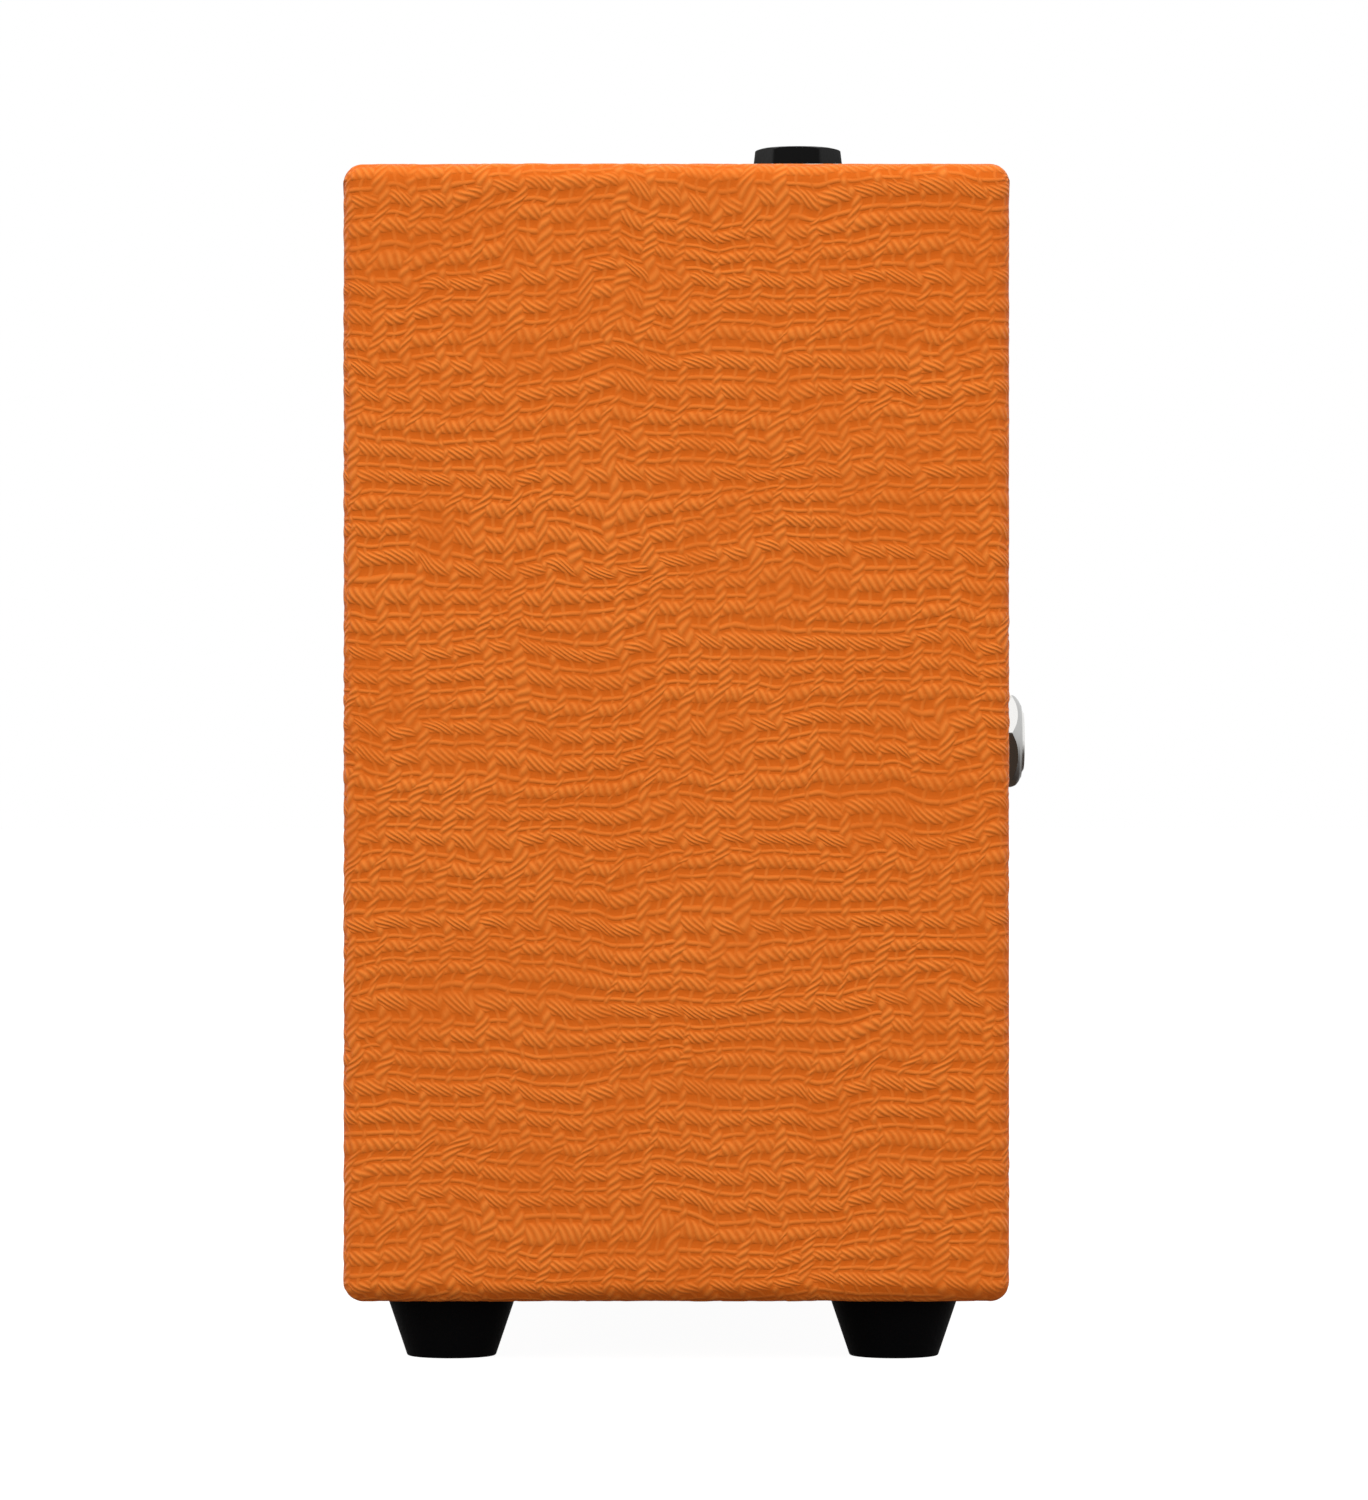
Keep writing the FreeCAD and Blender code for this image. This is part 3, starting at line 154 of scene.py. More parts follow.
def vinyl():
    """Orange vinyl embossed with ropes, thin threads between them, and columns of crossing strands."""
    m = Shade("orange_vinyl_weave")
    uv = m.node("UVMap", uv_map="weave").outputs[0]
    split = m.node("SeparateXYZ", {"Vector": uv})
    u, v = split.outputs[0], split.outputs[1]
    swell = m.node("Attribute", attribute_name="swell").outputs["Fac"]
    lift = m.node("Attribute", attribute_name="lift").outputs["Fac"]
    rows = m.math("DIVIDE", v, ROW)
    f = m.math("FRACT", rows)
    beat = m.math("DIVIDE", u, PITCH)
    for rate, size in SWAYS:
        turn = m.math("SINE", m.math("MULTIPLY", rows, 2 * math.pi * rate))
        beat = m.math("MULTIPLY_ADD", turn, size, beat)
    side = m.math("SUBTRACT", m.math("FRACT", beat), 0.5)
    off = m.math("MULTIPLY", m.math("ABSOLUTE", side), PITCH)

    def hump(value, at, half):
        """1 where value is at, and 0 from half away."""
        away = m.math("DIVIDE", m.math("SUBTRACT", value, at), half)
        return m.math("SUBTRACT", 1.0, m.math("MULTIPLY", away, away), clamp=True)

    def strands(turns, count, floor):
        """Strokes, count of them for each turn: 1 along a strand and floor between two."""
        wave = m.math("COSINE", m.math("MULTIPLY", turns, 2 * math.pi * count))
        return m.math("MULTIPLY_ADD", wave, (1.0 - floor) / 2, (1.0 + floor) / 2)

    reach = m.math("MULTIPLY_ADD", swell, CROSS_HALF, CROSS_SOFT / 2)
    crossing = m.math("DIVIDE", m.math("SUBTRACT", reach, off), CROSS_SOFT, clamp=True)
    clear = m.math("SUBTRACT", 1.0, crossing)
    twist = m.math("MULTIPLY_ADD", m.math("SUBTRACT", f, ROPE_AT), ROPE_LEAN * ROW / PITCH, beat)
    rope = m.math("POWER", hump(f, ROPE_AT, ROPE_HALF), 0.6)
    rope = m.math("MULTIPLY", rope, strands(twist, ROPE_STRANDS, ROPE_FLOOR))
    rope = m.math("MULTIPLY", rope, m.math("MULTIPLY_ADD", crossing, -NOTCH, 1.0))
    thin = m.math("MULTIPLY", hump(f, THIN_AT, THIN_HALF), m.math("MULTIPLY", clear, THIN_HIGH))
    thread = m.math("MULTIPLY", hump(off, PITCH / 2, THREAD_HALF), THREAD_HIGH)
    climb = m.math("MULTIPLY_ADD", side, -CROSS_LEAN * PITCH / ROW, rows)
    cross = m.math("MULTIPLY", strands(climb, CROSS_STRANDS, CROSS_FLOOR), CROSS_HIGH)
    cross = m.math("MULTIPLY", cross, crossing)
    height = m.math("MAXIMUM", m.math("MAXIMUM", rope, cross), m.math("MAXIMUM", thin, thread))
    height = m.math("MULTIPLY", height, lift)

    fine = m.noise(uv, 1.7, detail=2.0)
    height = m.math("MULTIPLY_ADD", fine, 0.25, height)
    patches = m.noise(uv, 0.05, detail=1.0)
    # tone is mostly the relief, and the colour from it is painted shade in the hollows (low) and a painted
    # highlight on the crests (high); the patches add a random tone on top
    tone = m.math("MULTIPLY_ADD", patches, 0.14, height)
    low, high = (0.655, 0.115, 0.0002), (0.825, 0.210, 0.0225)
    m.set(
        color=m.mix(m.span(tone, 0.1, 1.15, smooth=False), low, high),
        rough=m.span(height, 0.0, 1.0, 0.62, 0.46),
        specular=0.2,
        normal=m.bump(height, STRAND_RELIEF),
    )
    return m.material


def moulded(name, color, rough=0.45, grain=0.00004, scale=2600.0, specular=0.5):
    """Moulded plastic or rubber with a fine sparked grain and slightly uneven gloss."""
    m = Shade(name, specular=specular)
    place = m.place()
    grain_height = m.noise(place, scale, detail=2.0)
    cloud = m.noise(place, 60.0, detail=2.0)
    lighter = tuple(min(1.0, c * 1.35 + 0.003) for c in color)
    m.set(
        color=m.mix(cloud, color, lighter),
        rough=m.span(cloud, 0.3, 0.7, rough - 0.06, rough + 0.08),
        normal=m.bump(grain_height, grain),
    )
    return m.material


def brushed(name, color, rough=0.3, stretch=(40.0, 1400.0, 1400.0)):
    """Bare or plated metal with fine drawn lines and dull patches."""
    m = Shade(name, metal=1.0)
    lines = m.noise(m.place(stretch), 1.0, detail=3.0)
    cloud = m.noise(m.place(), 130.0, detail=3.0)
    dull = m.span(cloud, 0.45, 0.75)
    shine = m.span(lines, 0.3, 0.7, rough - 0.07, rough + 0.07)
    worn = tuple(a * b for a, b in zip(color, (0.55, 0.52, 0.48)))
    m.set(
        color=m.mix(m.math("MULTIPLY", dull, 0.5), color, worn),
        rough=m.math("MULTIPLY_ADD", dull, 0.08, shine),
        normal=m.bump(lines, 0.00001),
    )
    return m.material


def painted(name, color):
    """Sprayed paint: a faint orange peel, and a few specks where it is thin."""
    under = (0.25, 0.24, 0.23)
    m = Shade(name, specular=0.5)
    place = m.place()
    peel = m.noise(place, 900.0, detail=1.0)
    speck = m.noise(place, 1500.0, detail=2.0, rough=0.6)
    cloud = m.noise(place, 30.0, detail=2.0)
    base = m.mix(m.span(cloud, 0.3, 0.7), color, tuple(c * 0.94 for c in color))
    m.set(
        color=m.mix(m.math("MULTIPLY", m.span(speck, 0.72, 0.78), 0.6), base, under),
        rough=m.span(peel, 0.3, 0.7, 0.33, 0.44),
        normal=m.bump(peel, 0.000012),
    )
    return m.material


def fibreboard(name, color, rough=0.8):
    """Pressed wood fibres: pale flecks, and a felt-like surface."""
    m = Shade(name)
    flecks = m.noise(m.place((220.0, 220.0, 220.0)), 4.0, detail=5.0, rough=0.7)
    fibre = m.noise(m.place((900.0, 300.0, 900.0)), 1.0, detail=3.0)
    dark = tuple(c * 0.62 for c in color)
    m.set(
        color=m.mix(m.span(flecks, 0.32, 0.68), dark, color),
        rough=m.span(fibre, 0.3, 0.7, rough - 0.08, rough + 0.08),
        normal=m.bump(fibre, 0.00006),
    )
    return m.material


def pine():
    """Sawn softwood with growth rings along its length."""
    m = Shade("pine_batten", rough=0.7)
    warp = m.noise(m.place((12.0, 60.0, 12.0)), 1.0, detail=3.0)
    bands = m.math("SINE", m.math("MULTIPLY", warp, 70.0))
    pores = m.noise(m.place((200.0, 1600.0, 1600.0)), 1.0, detail=2.0)
    tone = m.math("MULTIPLY_ADD", bands, 0.25, 0.5)
    m.set(
        color=m.mix(tone, (0.50, 0.32, 0.15), (0.66, 0.47, 0.26)),
        normal=m.bump(pores, 0.00005),
    )
    return m.material


def basket_cloth():
    """Speaker cloth: dark and tan threads in pairs, two over and two under, each a little different."""
    m = Shade("basket_grille_cloth", rough=0.78, sheen=0.12)
    place = m.place()
    split = m.node("SeparateXYZ", {"Vector": place})
    sway = m.math("MULTIPLY_ADD", m.noise(place, 120.0, detail=2.0), 0.5 * MM, -0.25 * MM)
    thread = 0.62 * MM
    tones, highs, pairs = [], [], []
    for axis in (0, 2):
        along = m.math("DIVIDE", m.math("ADD", split.outputs[axis], sway), thread)
        index = m.math("FLOOR", along)
        tones.append(m.node("TexWhiteNoise", {"W": index}, noise_dimensions="1D").outputs["Value"])
        highs.append(m.math("SINE", m.math("MULTIPLY", m.math("FRACT", along), math.pi)))
        pairs.append(m.math("FLOOR", m.math("MULTIPLY", index, 0.5)))
    over = m.math("FRACT", m.math("MULTIPLY", m.math("ADD", *pairs), 0.5))
    over = m.math("MULTIPLY", over, 2.0)
    upper = m.math("MULTIPLY_ADD", m.math("SUBTRACT", highs[1], highs[0]), over, highs[0])
    lower = m.math("MULTIPLY_ADD", m.math("SUBTRACT", highs[0], highs[1]), over, highs[1])
    height = m.math("MULTIPLY", upper, m.math("MULTIPLY_ADD", lower, 0.35, 0.65))
    fibre = m.noise(place, 6000.0, detail=2.0)
    warp = m.mix(tones[0], (0.045, 0.026, 0.013), (0.085, 0.052, 0.028))
    weft = m.mix(tones[1], (0.24, 0.165, 0.080), (0.37, 0.275, 0.150))
    # the colour fades to near black where a thread dips down and in the gaps between threads, which is
    # painted shade
    m.set(
        color=m.mix(m.span(height, 0.0, 0.6), (0.012, 0.008, 0.005), m.mix(over, warp, weft)),
        normal=m.bump(m.math("MULTIPLY_ADD", fibre, 0.25, height), 0.00016),
    )
    return m.material


def radial(name, color, dark, rings, rough=0.7):
    """Pressed paper, foam or cloth with rings about the speaker's axis and a fibrous surface."""
    m = Shade(name, rough=rough)
    split = m.node("SeparateXYZ", {"Vector": m.place()})
    x = split.outputs[0]
    z = m.math("SUBTRACT", split.outputs[2], SPEAKER_Z)
    reach = m.math("SQRT", m.math("ADD", m.math("MULTIPLY", x, x), m.math("MULTIPLY", z, z)))
    ripple = m.math("MULTIPLY_ADD", m.math("SINE", m.math("MULTIPLY", reach, rings)), 0.5, 0.5)
    fibre = m.noise(m.place(), 1200.0, detail=4.0, rough=0.65)
    m.set(
        color=m.mix(m.span(fibre, 0.3, 0.7), dark, color),
        normal=m.bump(m.math("MULTIPLY_ADD", fibre, 0.35, ripple), 0.0001),
    )
    return m.material


def chromed():
    """Polished nickel chrome with faint rubbing marks, rougher where it was turned, facing the back, where
    its colour is also painted a darker grey as painted shade.
    """
    m = Shade("polished_chrome", metal=1.0)
    smear = m.noise(m.place((300.0, 900.0, 300.0)), 1.0, detail=3.0)
    spots = m.span(m.noise(m.place(), 700.0, detail=4.0), 0.62, 0.75)
    facing = m.node("SeparateXYZ", {"Vector": m.node("TexCoord").outputs["Normal"]}).outputs[1]
    turned = m.span(facing, 0.15, 0.4)
    bright = m.mix(spots, (0.90, 0.89, 0.87), (0.66, 0.62, 0.57))
    polish = m.span(smear, 0.3, 0.75, 0.06, 0.16)
    m.set(
        # faces that point to the back are painted a darker grey, which is painted shade; their higher
        # roughness is the turned finish
        color=m.mix(turned, bright, (0.52, 0.52, 0.51)),
        rough=m.math("MULTIPLY_ADD", turned, 0.28, polish),
        normal=m.bump(smear, 0.000004),
    )
    return m.material


def nosed(name, split_at):
    """Black nylon, with the threaded nose beyond split_at along Y in bright nickel."""
    m = Shade(name)
    y = m.node("SeparateXYZ", {"Vector": m.place()}).outputs[1]
    nose = m.math("GREATER_THAN", y, split_at)
    threads = m.math("SINE", m.math("MULTIPLY", y, 2 * math.pi / (0.75 * MM)))
    cloud = m.noise(m.place(), 400.0, detail=3.0)
    grain = m.math("MULTIPLY_ADD", cloud, 0.3, m.math("MULTIPLY", threads, nose))
    m.set(
        color=m.mix(nose, (0.010, 0.010, 0.011), (0.80, 0.79, 0.77)),
        metal=nose,
        rough=m.span(cloud, 0.3, 0.7, 0.20, 0.36),
        normal=m.bump(grain, 0.00003),
    )
    return m.material


def printed_board():
    """Green solder mask over copper tracks."""
    m = Shade("green_circuit_board", coat=0.3, rough=0.4)
    place = m.place()
    tracks = m.node("TexBrick", {"Vector": place, "Scale": 260.0, "Mortar Size": 0.035}).outputs["Fac"]
    grain = m.noise(place, 900.0, detail=2.0)
    m.set(
        color=m.mix(tracks, (0.012, 0.11, 0.035), (0.05, 0.22, 0.06)),
        rough=m.span(grain, 0.3, 0.7, 0.32, 0.48),
        normal=m.bump(tracks, 0.00003),
    )
    return m.material


def lens(name, color):
    """A clear tinted light pipe with a faint inner glow and a diffusing grain."""
    m = Shade(name, transmission=0.35)
    haze = m.noise(m.place(), 1800.0, detail=2.0)
    m.set(
        color=m.mix(haze, color, tuple(min(1.0, c * 1.6 + 0.02) for c in color)),
        rough=m.span(haze, 0.3, 0.7, 0.10, 0.28),
        glow=color,
        glow_strength=0.1,
        normal=m.bump(haze, 0.00002),
    )
    return m.material


def ink(name, color):
    """Screen-printed ink: slightly raised, a little uneven at its edges."""
    m = Shade(name, rough=0.5)
    spread = m.noise(m.place(), 4000.0, detail=2.0)
    m.set(
        color=m.mix(m.span(spread, 0.35, 0.65), color, tuple(c * 1.3 + 0.01 for c in color)),
        normal=m.bump(spread, 0.000008),
    )
    return m.material


def wrapped_cell():
    """A battery's printed sleeve: a dark body with a pale band, scuffed here and there."""
    m = Shade("battery_sleeve", coat=0.4)
    x = m.node("SeparateXYZ", {"Vector": m.place()}).outputs[0]
    low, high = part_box("battery")
    band = m.span(x, low[0] + 0.62 * (high[0] - low[0]), low[0] + 0.63 * (high[0] - low[0]))
    scuff = m.noise(m.place(), 240.0, detail=4.0)
    color = m.mix(band, (0.02, 0.025, 0.04), (0.55, 0.42, 0.20))
    m.set(
        color=m.mix(m.math("MULTIPLY", m.span(scuff, 0.6, 0.75), 0.3), color, (0.3, 0.3, 0.3)),
        rough=m.span(scuff, 0.3, 0.7, 0.25, 0.42),
        normal=m.bump(scuff, 0.00001),
    )
    return m.material


def floor_sheet():
    """A pale translucent sheet lit from below, as on a light table, so that shadows stay soft."""
    m = Shade("pale_floor", rough=0.9, specular=0.0)
    tooth = m.noise(m.place(), 500.0, detail=3.0)
    m.set(
        color=m.mix(tooth, (0.25, 0.25, 0.25), (0.27, 0.27, 0.27)),
        glow=(1.0, 1.0, 1.0),
        glow_strength=0.96,
        normal=m.bump(tooth, 0.00002),
    )
    return m.material


# ---------------------------------------------------------------- mesh helpers


def mesh_object(name, points, faces, material, smooth=True):
    """An object from points and faces of any size."""
    mesh = bpy.data.meshes.new(name)
    mesh.from_pydata([tuple(p) for p in points], [], [tuple(f) for f in faces])
    mesh.validate()
    mesh.polygons.foreach_set("use_smooth", [smooth] * len(mesh.polygons))
    mesh.materials.append(material)
    made = bpy.data.objects.new(name, mesh)
    bpy.context.scene.collection.objects.link(made)
    return made


def settle(piece, body, slot, *nodes):
    """piece rides on body and stands for the CAD nodes, if any are named. slot is not used."""
    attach(piece, body)
    if nodes:
        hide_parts(*nodes)


def grid_faces(rows, columns, wrap=False):
    """Quads of a grid of points stored row by row. With wrap, the last row joins the first."""
    faces = []
    for i in range(rows if wrap else rows - 1):
        for j in range(columns - 1):
            a, b = i * columns + j, ((i + 1) % rows) * columns + j
            faces.append((a, a + 1, b + 1, b))
    return faces


# ---------------------------------------------------------------- the vinyl covering

EDGE = 2.5 * MM  # radius of the cabinet's outer edges
RIM_EDGE = 1.0 * MM  # radius where the covering turns into the mouth
LEAST = 0.3 * MM  # radius left in the corners of the mouth
RIM = 7.8 * MM  # from the outside of the cabinet to the mouth
FRONT_WRAP, REAR_WRAP = 7.2 * MM, 4.4 * MM  # how deep it goes into the two mouths
SKIN = 0.8 * MM  # its thickness, which shows at its two ends
STEP = 0.42 * MM  # of the mesh


def steps(length):
    """How many steps of the mesh cover length."""
    return max(1, round(length / STEP))


def depth_profile():
    """The covering's section from the front mouth to the rear one: depth y, distance in from the
    outside, and the outward normal's two parts (along y, and out of the cabinet)."""
    low, high = COVER_LOW.y, COVER_HIGH.y
    points = []

    def line(y0, d0, y1, d1, normal):
        count = steps(math.hypot(y1 - y0, d1 - d0))
        for k in range(count):
            part = k / count
            points.append((y0 + (y1 - y0) * part, d0 + (d1 - d0) * part, *normal))

    def arc(centre_y, centre_d, radius, start, end):
        """start and end are angles from the cabinet's outward direction towards +Y."""
        count = max(4, steps(radius * abs(end - start)))
        for k in range(count):
            a = start + (end - start) * k / count
            along, out = math.sin(a), math.cos(a)
            points.append((centre_y + radius * along, centre_d - radius * out, along, out))

    quarter = math.pi / 2
    line(low + FRONT_WRAP, RIM - SKIN, low + FRONT_WRAP, RIM, (1.0, 0.0))
    line(low + FRONT_WRAP, RIM, low + RIM_EDGE, RIM, (0.0, -1.0))
    arc(low + RIM_EDGE, RIM - RIM_EDGE, RIM_EDGE, -2 * quarter, -quarter)
    line(low, RIM - RIM_EDGE, low, EDGE, (-1.0, 0.0))
    arc(low + EDGE, EDGE, EDGE, -quarter, 0.0)
    line(low + EDGE, 0.0, high - EDGE, 0.0, (0.0, 1.0))
    arc(high - EDGE, EDGE, EDGE, 0.0, quarter)
    line(high, EDGE, high, RIM - RIM_EDGE, (1.0, 0.0))
    arc(high - RIM_EDGE, RIM - RIM_EDGE, RIM_EDGE, quarter, 2 * quarter)
    line(high - RIM_EDGE, RIM, high - REAR_WRAP, RIM, (0.0, -1.0))
    points.append((high - REAR_WRAP, RIM, 0.0, -1.0))
    points.append((high - REAR_WRAP, RIM - SKIN, -1.0, 0.0))
    return np.array(points).T


def lattice(a, b, seed, size_b):
    """Smooth noise from -1 to 1. It repeats every 64 along a, and every size_b along b."""
    size_a = 64
    table = np.random.default_rng(seed).uniform(-1.0, 1.0, (size_a, size_b))
    i, j = np.floor(a).astype(int), np.floor(b).astype(int)
    fa, fb = a - i, b - j
    fa, fb = fa * fa * (3 - 2 * fa), fb * fb * (3 - 2 * fb)

    def at(p, q):
        return table[p % size_a, q % size_b]

    near = at(i, j) * (1 - fa) + at(i + 1, j) * fa
    far = at(i, j + 1) * (1 - fa) + at(i + 1, j + 1) * fa
    return near * (1 - fb) + far * fb


def broad_relief(u, v, swell):
    """The weave without its strands, from 0 to 1: ropes, thin threads and crossings."""
    rows = v / ROW
    f = np.mod(rows, 1.0)
    sway = sum(size * np.sin(2 * math.pi * rate * rows) for rate, size in SWAYS)
    off = np.abs(np.mod(u / PITCH + sway, 1.0) - 0.5) * PITCH

    def hump(at, half):
        return np.clip(1.0 - ((f - at) / half) ** 2, 0.0, 1.0)

    crossing = np.clip((CROSS_HALF * swell + CROSS_SOFT / 2 - off) / CROSS_SOFT, 0.0, 1.0)
    rope = hump(ROPE_AT, ROPE_HALF) ** 0.6 * (1.0 - NOTCH * crossing)
    thin = THIN_HIGH * hump(THIN_AT, THIN_HALF) * (1.0 - crossing)
    return np.maximum(np.maximum(rope, thin), 0.6 * crossing)


def covering():
    """The vinyl glued round the cabinet, as four pieces that meet in the middle of the long edges."""
    y, inset, normal_y, normal_out = depth_profile()
    u = np.concatenate([[0.0], np.cumsum(np.hypot(np.diff(y), np.diff(inset)))])
    round_off = np.maximum(EDGE - inset, LEAST)
    eighth = math.pi / 4
    arcs = 5
    x_axis, z_axis = np.array([1.0, 0.0, 0.0]), np.array([0.0, 0.0, 1.0])
    sides = [
        ("vinyl_right", x_axis, z_axis, HALF_X, HALF_Z),
        ("vinyl_top", z_axis, -x_axis, HALF_Z, HALF_X),
        ("vinyl_left", -x_axis, -z_axis, HALF_X, HALF_Z),
        ("vinyl_bottom", -z_axis, x_axis, HALF_Z, HALF_X),
    ]
    perimeter = sum(2 * (half - EDGE) + 2 * eighth * EDGE for *_, half in sides)
    row_fit = ROW * MM * round(perimeter / (ROW * MM)) / perimeter
    points, normals, uvs, starts = [], [], [], []
    run, count = 0.0, 0
    for _, out, along, reach, half in sides:
        straight = steps(2 * (half - EDGE))
        turn = [(-1.0, -eighth * (1 - k / arcs)) for k in range(arcs)]
        turn += [(2.0 * k / straight - 1.0, 0.0) for k in range(straight + 1)]
        turn += [(1.0, eighth * k / arcs) for k in range(1, arcs)]
        part, angle = (np.array(c)[:, None] for c in zip(*turn))
        p = part * (half - inset - round_off) + round_off * np.sin(angle)
        q = reach - inset - round_off + round_off * np.cos(angle)
        v = run + eighth * EDGE + (part + 1) * (half - EDGE) + EDGE * angle
        place = np.array(CENTRE) * [1, 0, 1] + p[..., None] * along + q[..., None] * out
        place[..., 1] = y
        facing = np.sin(angle)[..., None] * along + np.cos(angle)[..., None] * out
        normal = facing * normal_out[:, None]
        normal[..., 1] = normal_y
        points.append(place)
        normals.append(np.broadcast_to(normal, place.shape))
        uvs.append(np.stack(np.broadcast_arrays(u / MM, v * row_fit / MM), axis=-1))
        starts.append(count)
        count += len(turn)
        run += 2 * (half - EDGE) + 2 * eighth * EDGE
    points, normals, uvs = (np.concatenate(a) for a in (points, normals, uvs))
    starts.append(count)

    total = perimeter * row_fit / MM
    flat_u, flat_v = uvs[..., 0].copy(), uvs[..., 1].copy()

    def drift(cell, seed, cell_v=None):
        """Smooth noise over the covering that closes on itself round the perimeter.

        Its cells are cell long along u, and cell_v, or else cell, along v.
        """
        repeats = round(total / (cell_v or cell))
        return lattice(flat_u / cell, flat_v * repeats / total, seed, repeats)

    for k, (cell, along_u, along_v) in enumerate(WARPS):
        uvs[..., 0] += along_u * drift(STRETCH * cell, seed=10 + k, cell_v=cell)
        uvs[..., 1] += along_v * drift(cell, seed=20 + k, cell_v=STRETCH * cell)
    uvs[..., 1] += CROWDING * drift(18.0, seed=40, cell_v=6.0)
    # swell is how wide the crossings are, and lift how high the weave stands; both are 1 on average
    swell = np.clip(1.0 + 1.1 * drift(5.0, seed=30), 0.0, 2.0)
    lift = 1.0 + 0.2 * drift(9.0, seed=31) + 0.3 * drift(3.0, seed=32)
    relief = RELIEF * (lift * broad_relief(uvs[..., 0], uvs[..., 1], swell) - 0.5)
    relief = np.where(under_fittings(points), -0.5 * RELIEF, relief)
    points = points + normals * relief[..., None]

    across = np.roll(points, -1, axis=0) - np.roll(points, 1, axis=0)
    shading = np.cross(np.gradient(points, axis=1), across)
    shading /= np.maximum(np.linalg.norm(shading, axis=-1, keepdims=True), 1e-12)
    material = vinyl()
    for k, (name, *_) in enumerate(sides):
        rows = np.arange(starts[k], starts[k + 1] + 1) % count
        piece = shell(name, points[rows], shading[rows], uvs[rows], total, material)
        for label, values in (("swell", swell), ("lift", lift)):
            layer = piece.data.attributes.new(label, "FLOAT", "POINT")
            layer.data.foreach_set("value", values[rows].ravel())
        settle(piece, "cabinet", "orange_vinyl", "vinyl_covering")


def under_fittings(points):
    """Where the control panel's flange and the feet press the covering flat."""
    low, high = (np.array(c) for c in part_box("control_panel"))
    on_top = points[..., 2] > COVER_HIGH.z - EDGE / 2
    flat = on_top & np.all((points[..., :2] > low[:2]) & (points[..., :2] < high[:2]), axis=-1)
    for foot in FEET:
        low, high = (np.array(c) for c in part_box(foot))
        middle, radius = (low + high)[:2] / 2, (high - low)[0] / 2
        below = points[..., 2] < COVER_LOW.z + EDGE / 2
        flat |= below & (np.linalg.norm(points[..., :2] - middle, axis=-1) < radius)
    return flat


def shell(name, points, normals, uvs, total, material):
    """One side of the covering as a grid mesh, open where the control panel is let in."""
    rows, columns = points.shape[:2]
    uvs = uvs.copy()
    last = uvs[-1, :, 1] < uvs[0, :, 1].min()
    uvs[-1, last, 1] += total
    index = np.arange(rows * columns).reshape(rows, columns)
    quads = np.stack([index[:-1, :-1], index[:-1, 1:], index[1:, 1:], index[1:, :-1]], axis=-1)
    quads = quads.reshape(-1, 4)
    middle = points.reshape(-1, 3)[quads].mean(axis=1)
    low, high = (np.array(c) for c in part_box("control_panel"))
    margin = 4.0 * MM
    gone = (middle[:, 2] > COVER_HIGH.z - EDGE / 2) & np.all(
        (middle[:, :2] > low[:2] + margin) & (middle[:, :2] < high[:2] - margin), axis=1
    )
    quads = quads[~gone]
    mesh = bpy.data.meshes.new(name)
    mesh.vertices.add(rows * columns)
    mesh.vertices.foreach_set("co", points.ravel())
    mesh.loops.add(quads.size)
    mesh.loops.foreach_set("vertex_index", quads.ravel())
    mesh.polygons.add(len(quads))
    mesh.polygons.foreach_set("loop_start", np.arange(0, quads.size, 4))
    mesh.update(calc_edges=True)
    layer = mesh.uv_layers.new(name="weave")
    layer.data.foreach_set("uv", uvs.reshape(-1, 2)[quads.ravel()].ravel())
    mesh.polygons.foreach_set("use_smooth", np.ones(len(quads), dtype=bool))
    mesh.normals_split_custom_set_from_vertices(normals.reshape(-1, 3))
    mesh.materials.append(material)
    made = bpy.data.objects.new(name, mesh)
    bpy.context.scene.collection.objects.link(made)
    return made


# ---------------------------------------------------------------- other pieces


def grille():
    """The speaker cloth, stretched flat over the baffle, with a little slack over the speaker's hole."""
    low, high = (Vector(c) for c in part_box("grille_cloth"))
    wide, tall, count = high.x - low.x, high.z - low.z, 120
    reach, inset, sag = 44 * MM, 0.1 * MM, 0.25 * MM  # the slack ends just inside the hole's edge
    points = []
    for i in range(count + 1):
        for j in range(count + 1):
            x, z = low.x + wide * i / count, low.z + tall * j / count
            slack = max(0.0, 1.0 - (math.hypot(x, z - SPEAKER_Z) / reach) ** 2)
            points.append((x, high.y - inset - sag * slack, z))
    faces = [f[::-1] for f in grid_faces(count + 1, count + 1)]
    cloth = mesh_object("speaker_cloth", points, faces, basket_cloth())
    settle(cloth, "cabinet", "grille_weave", "grille_cloth")


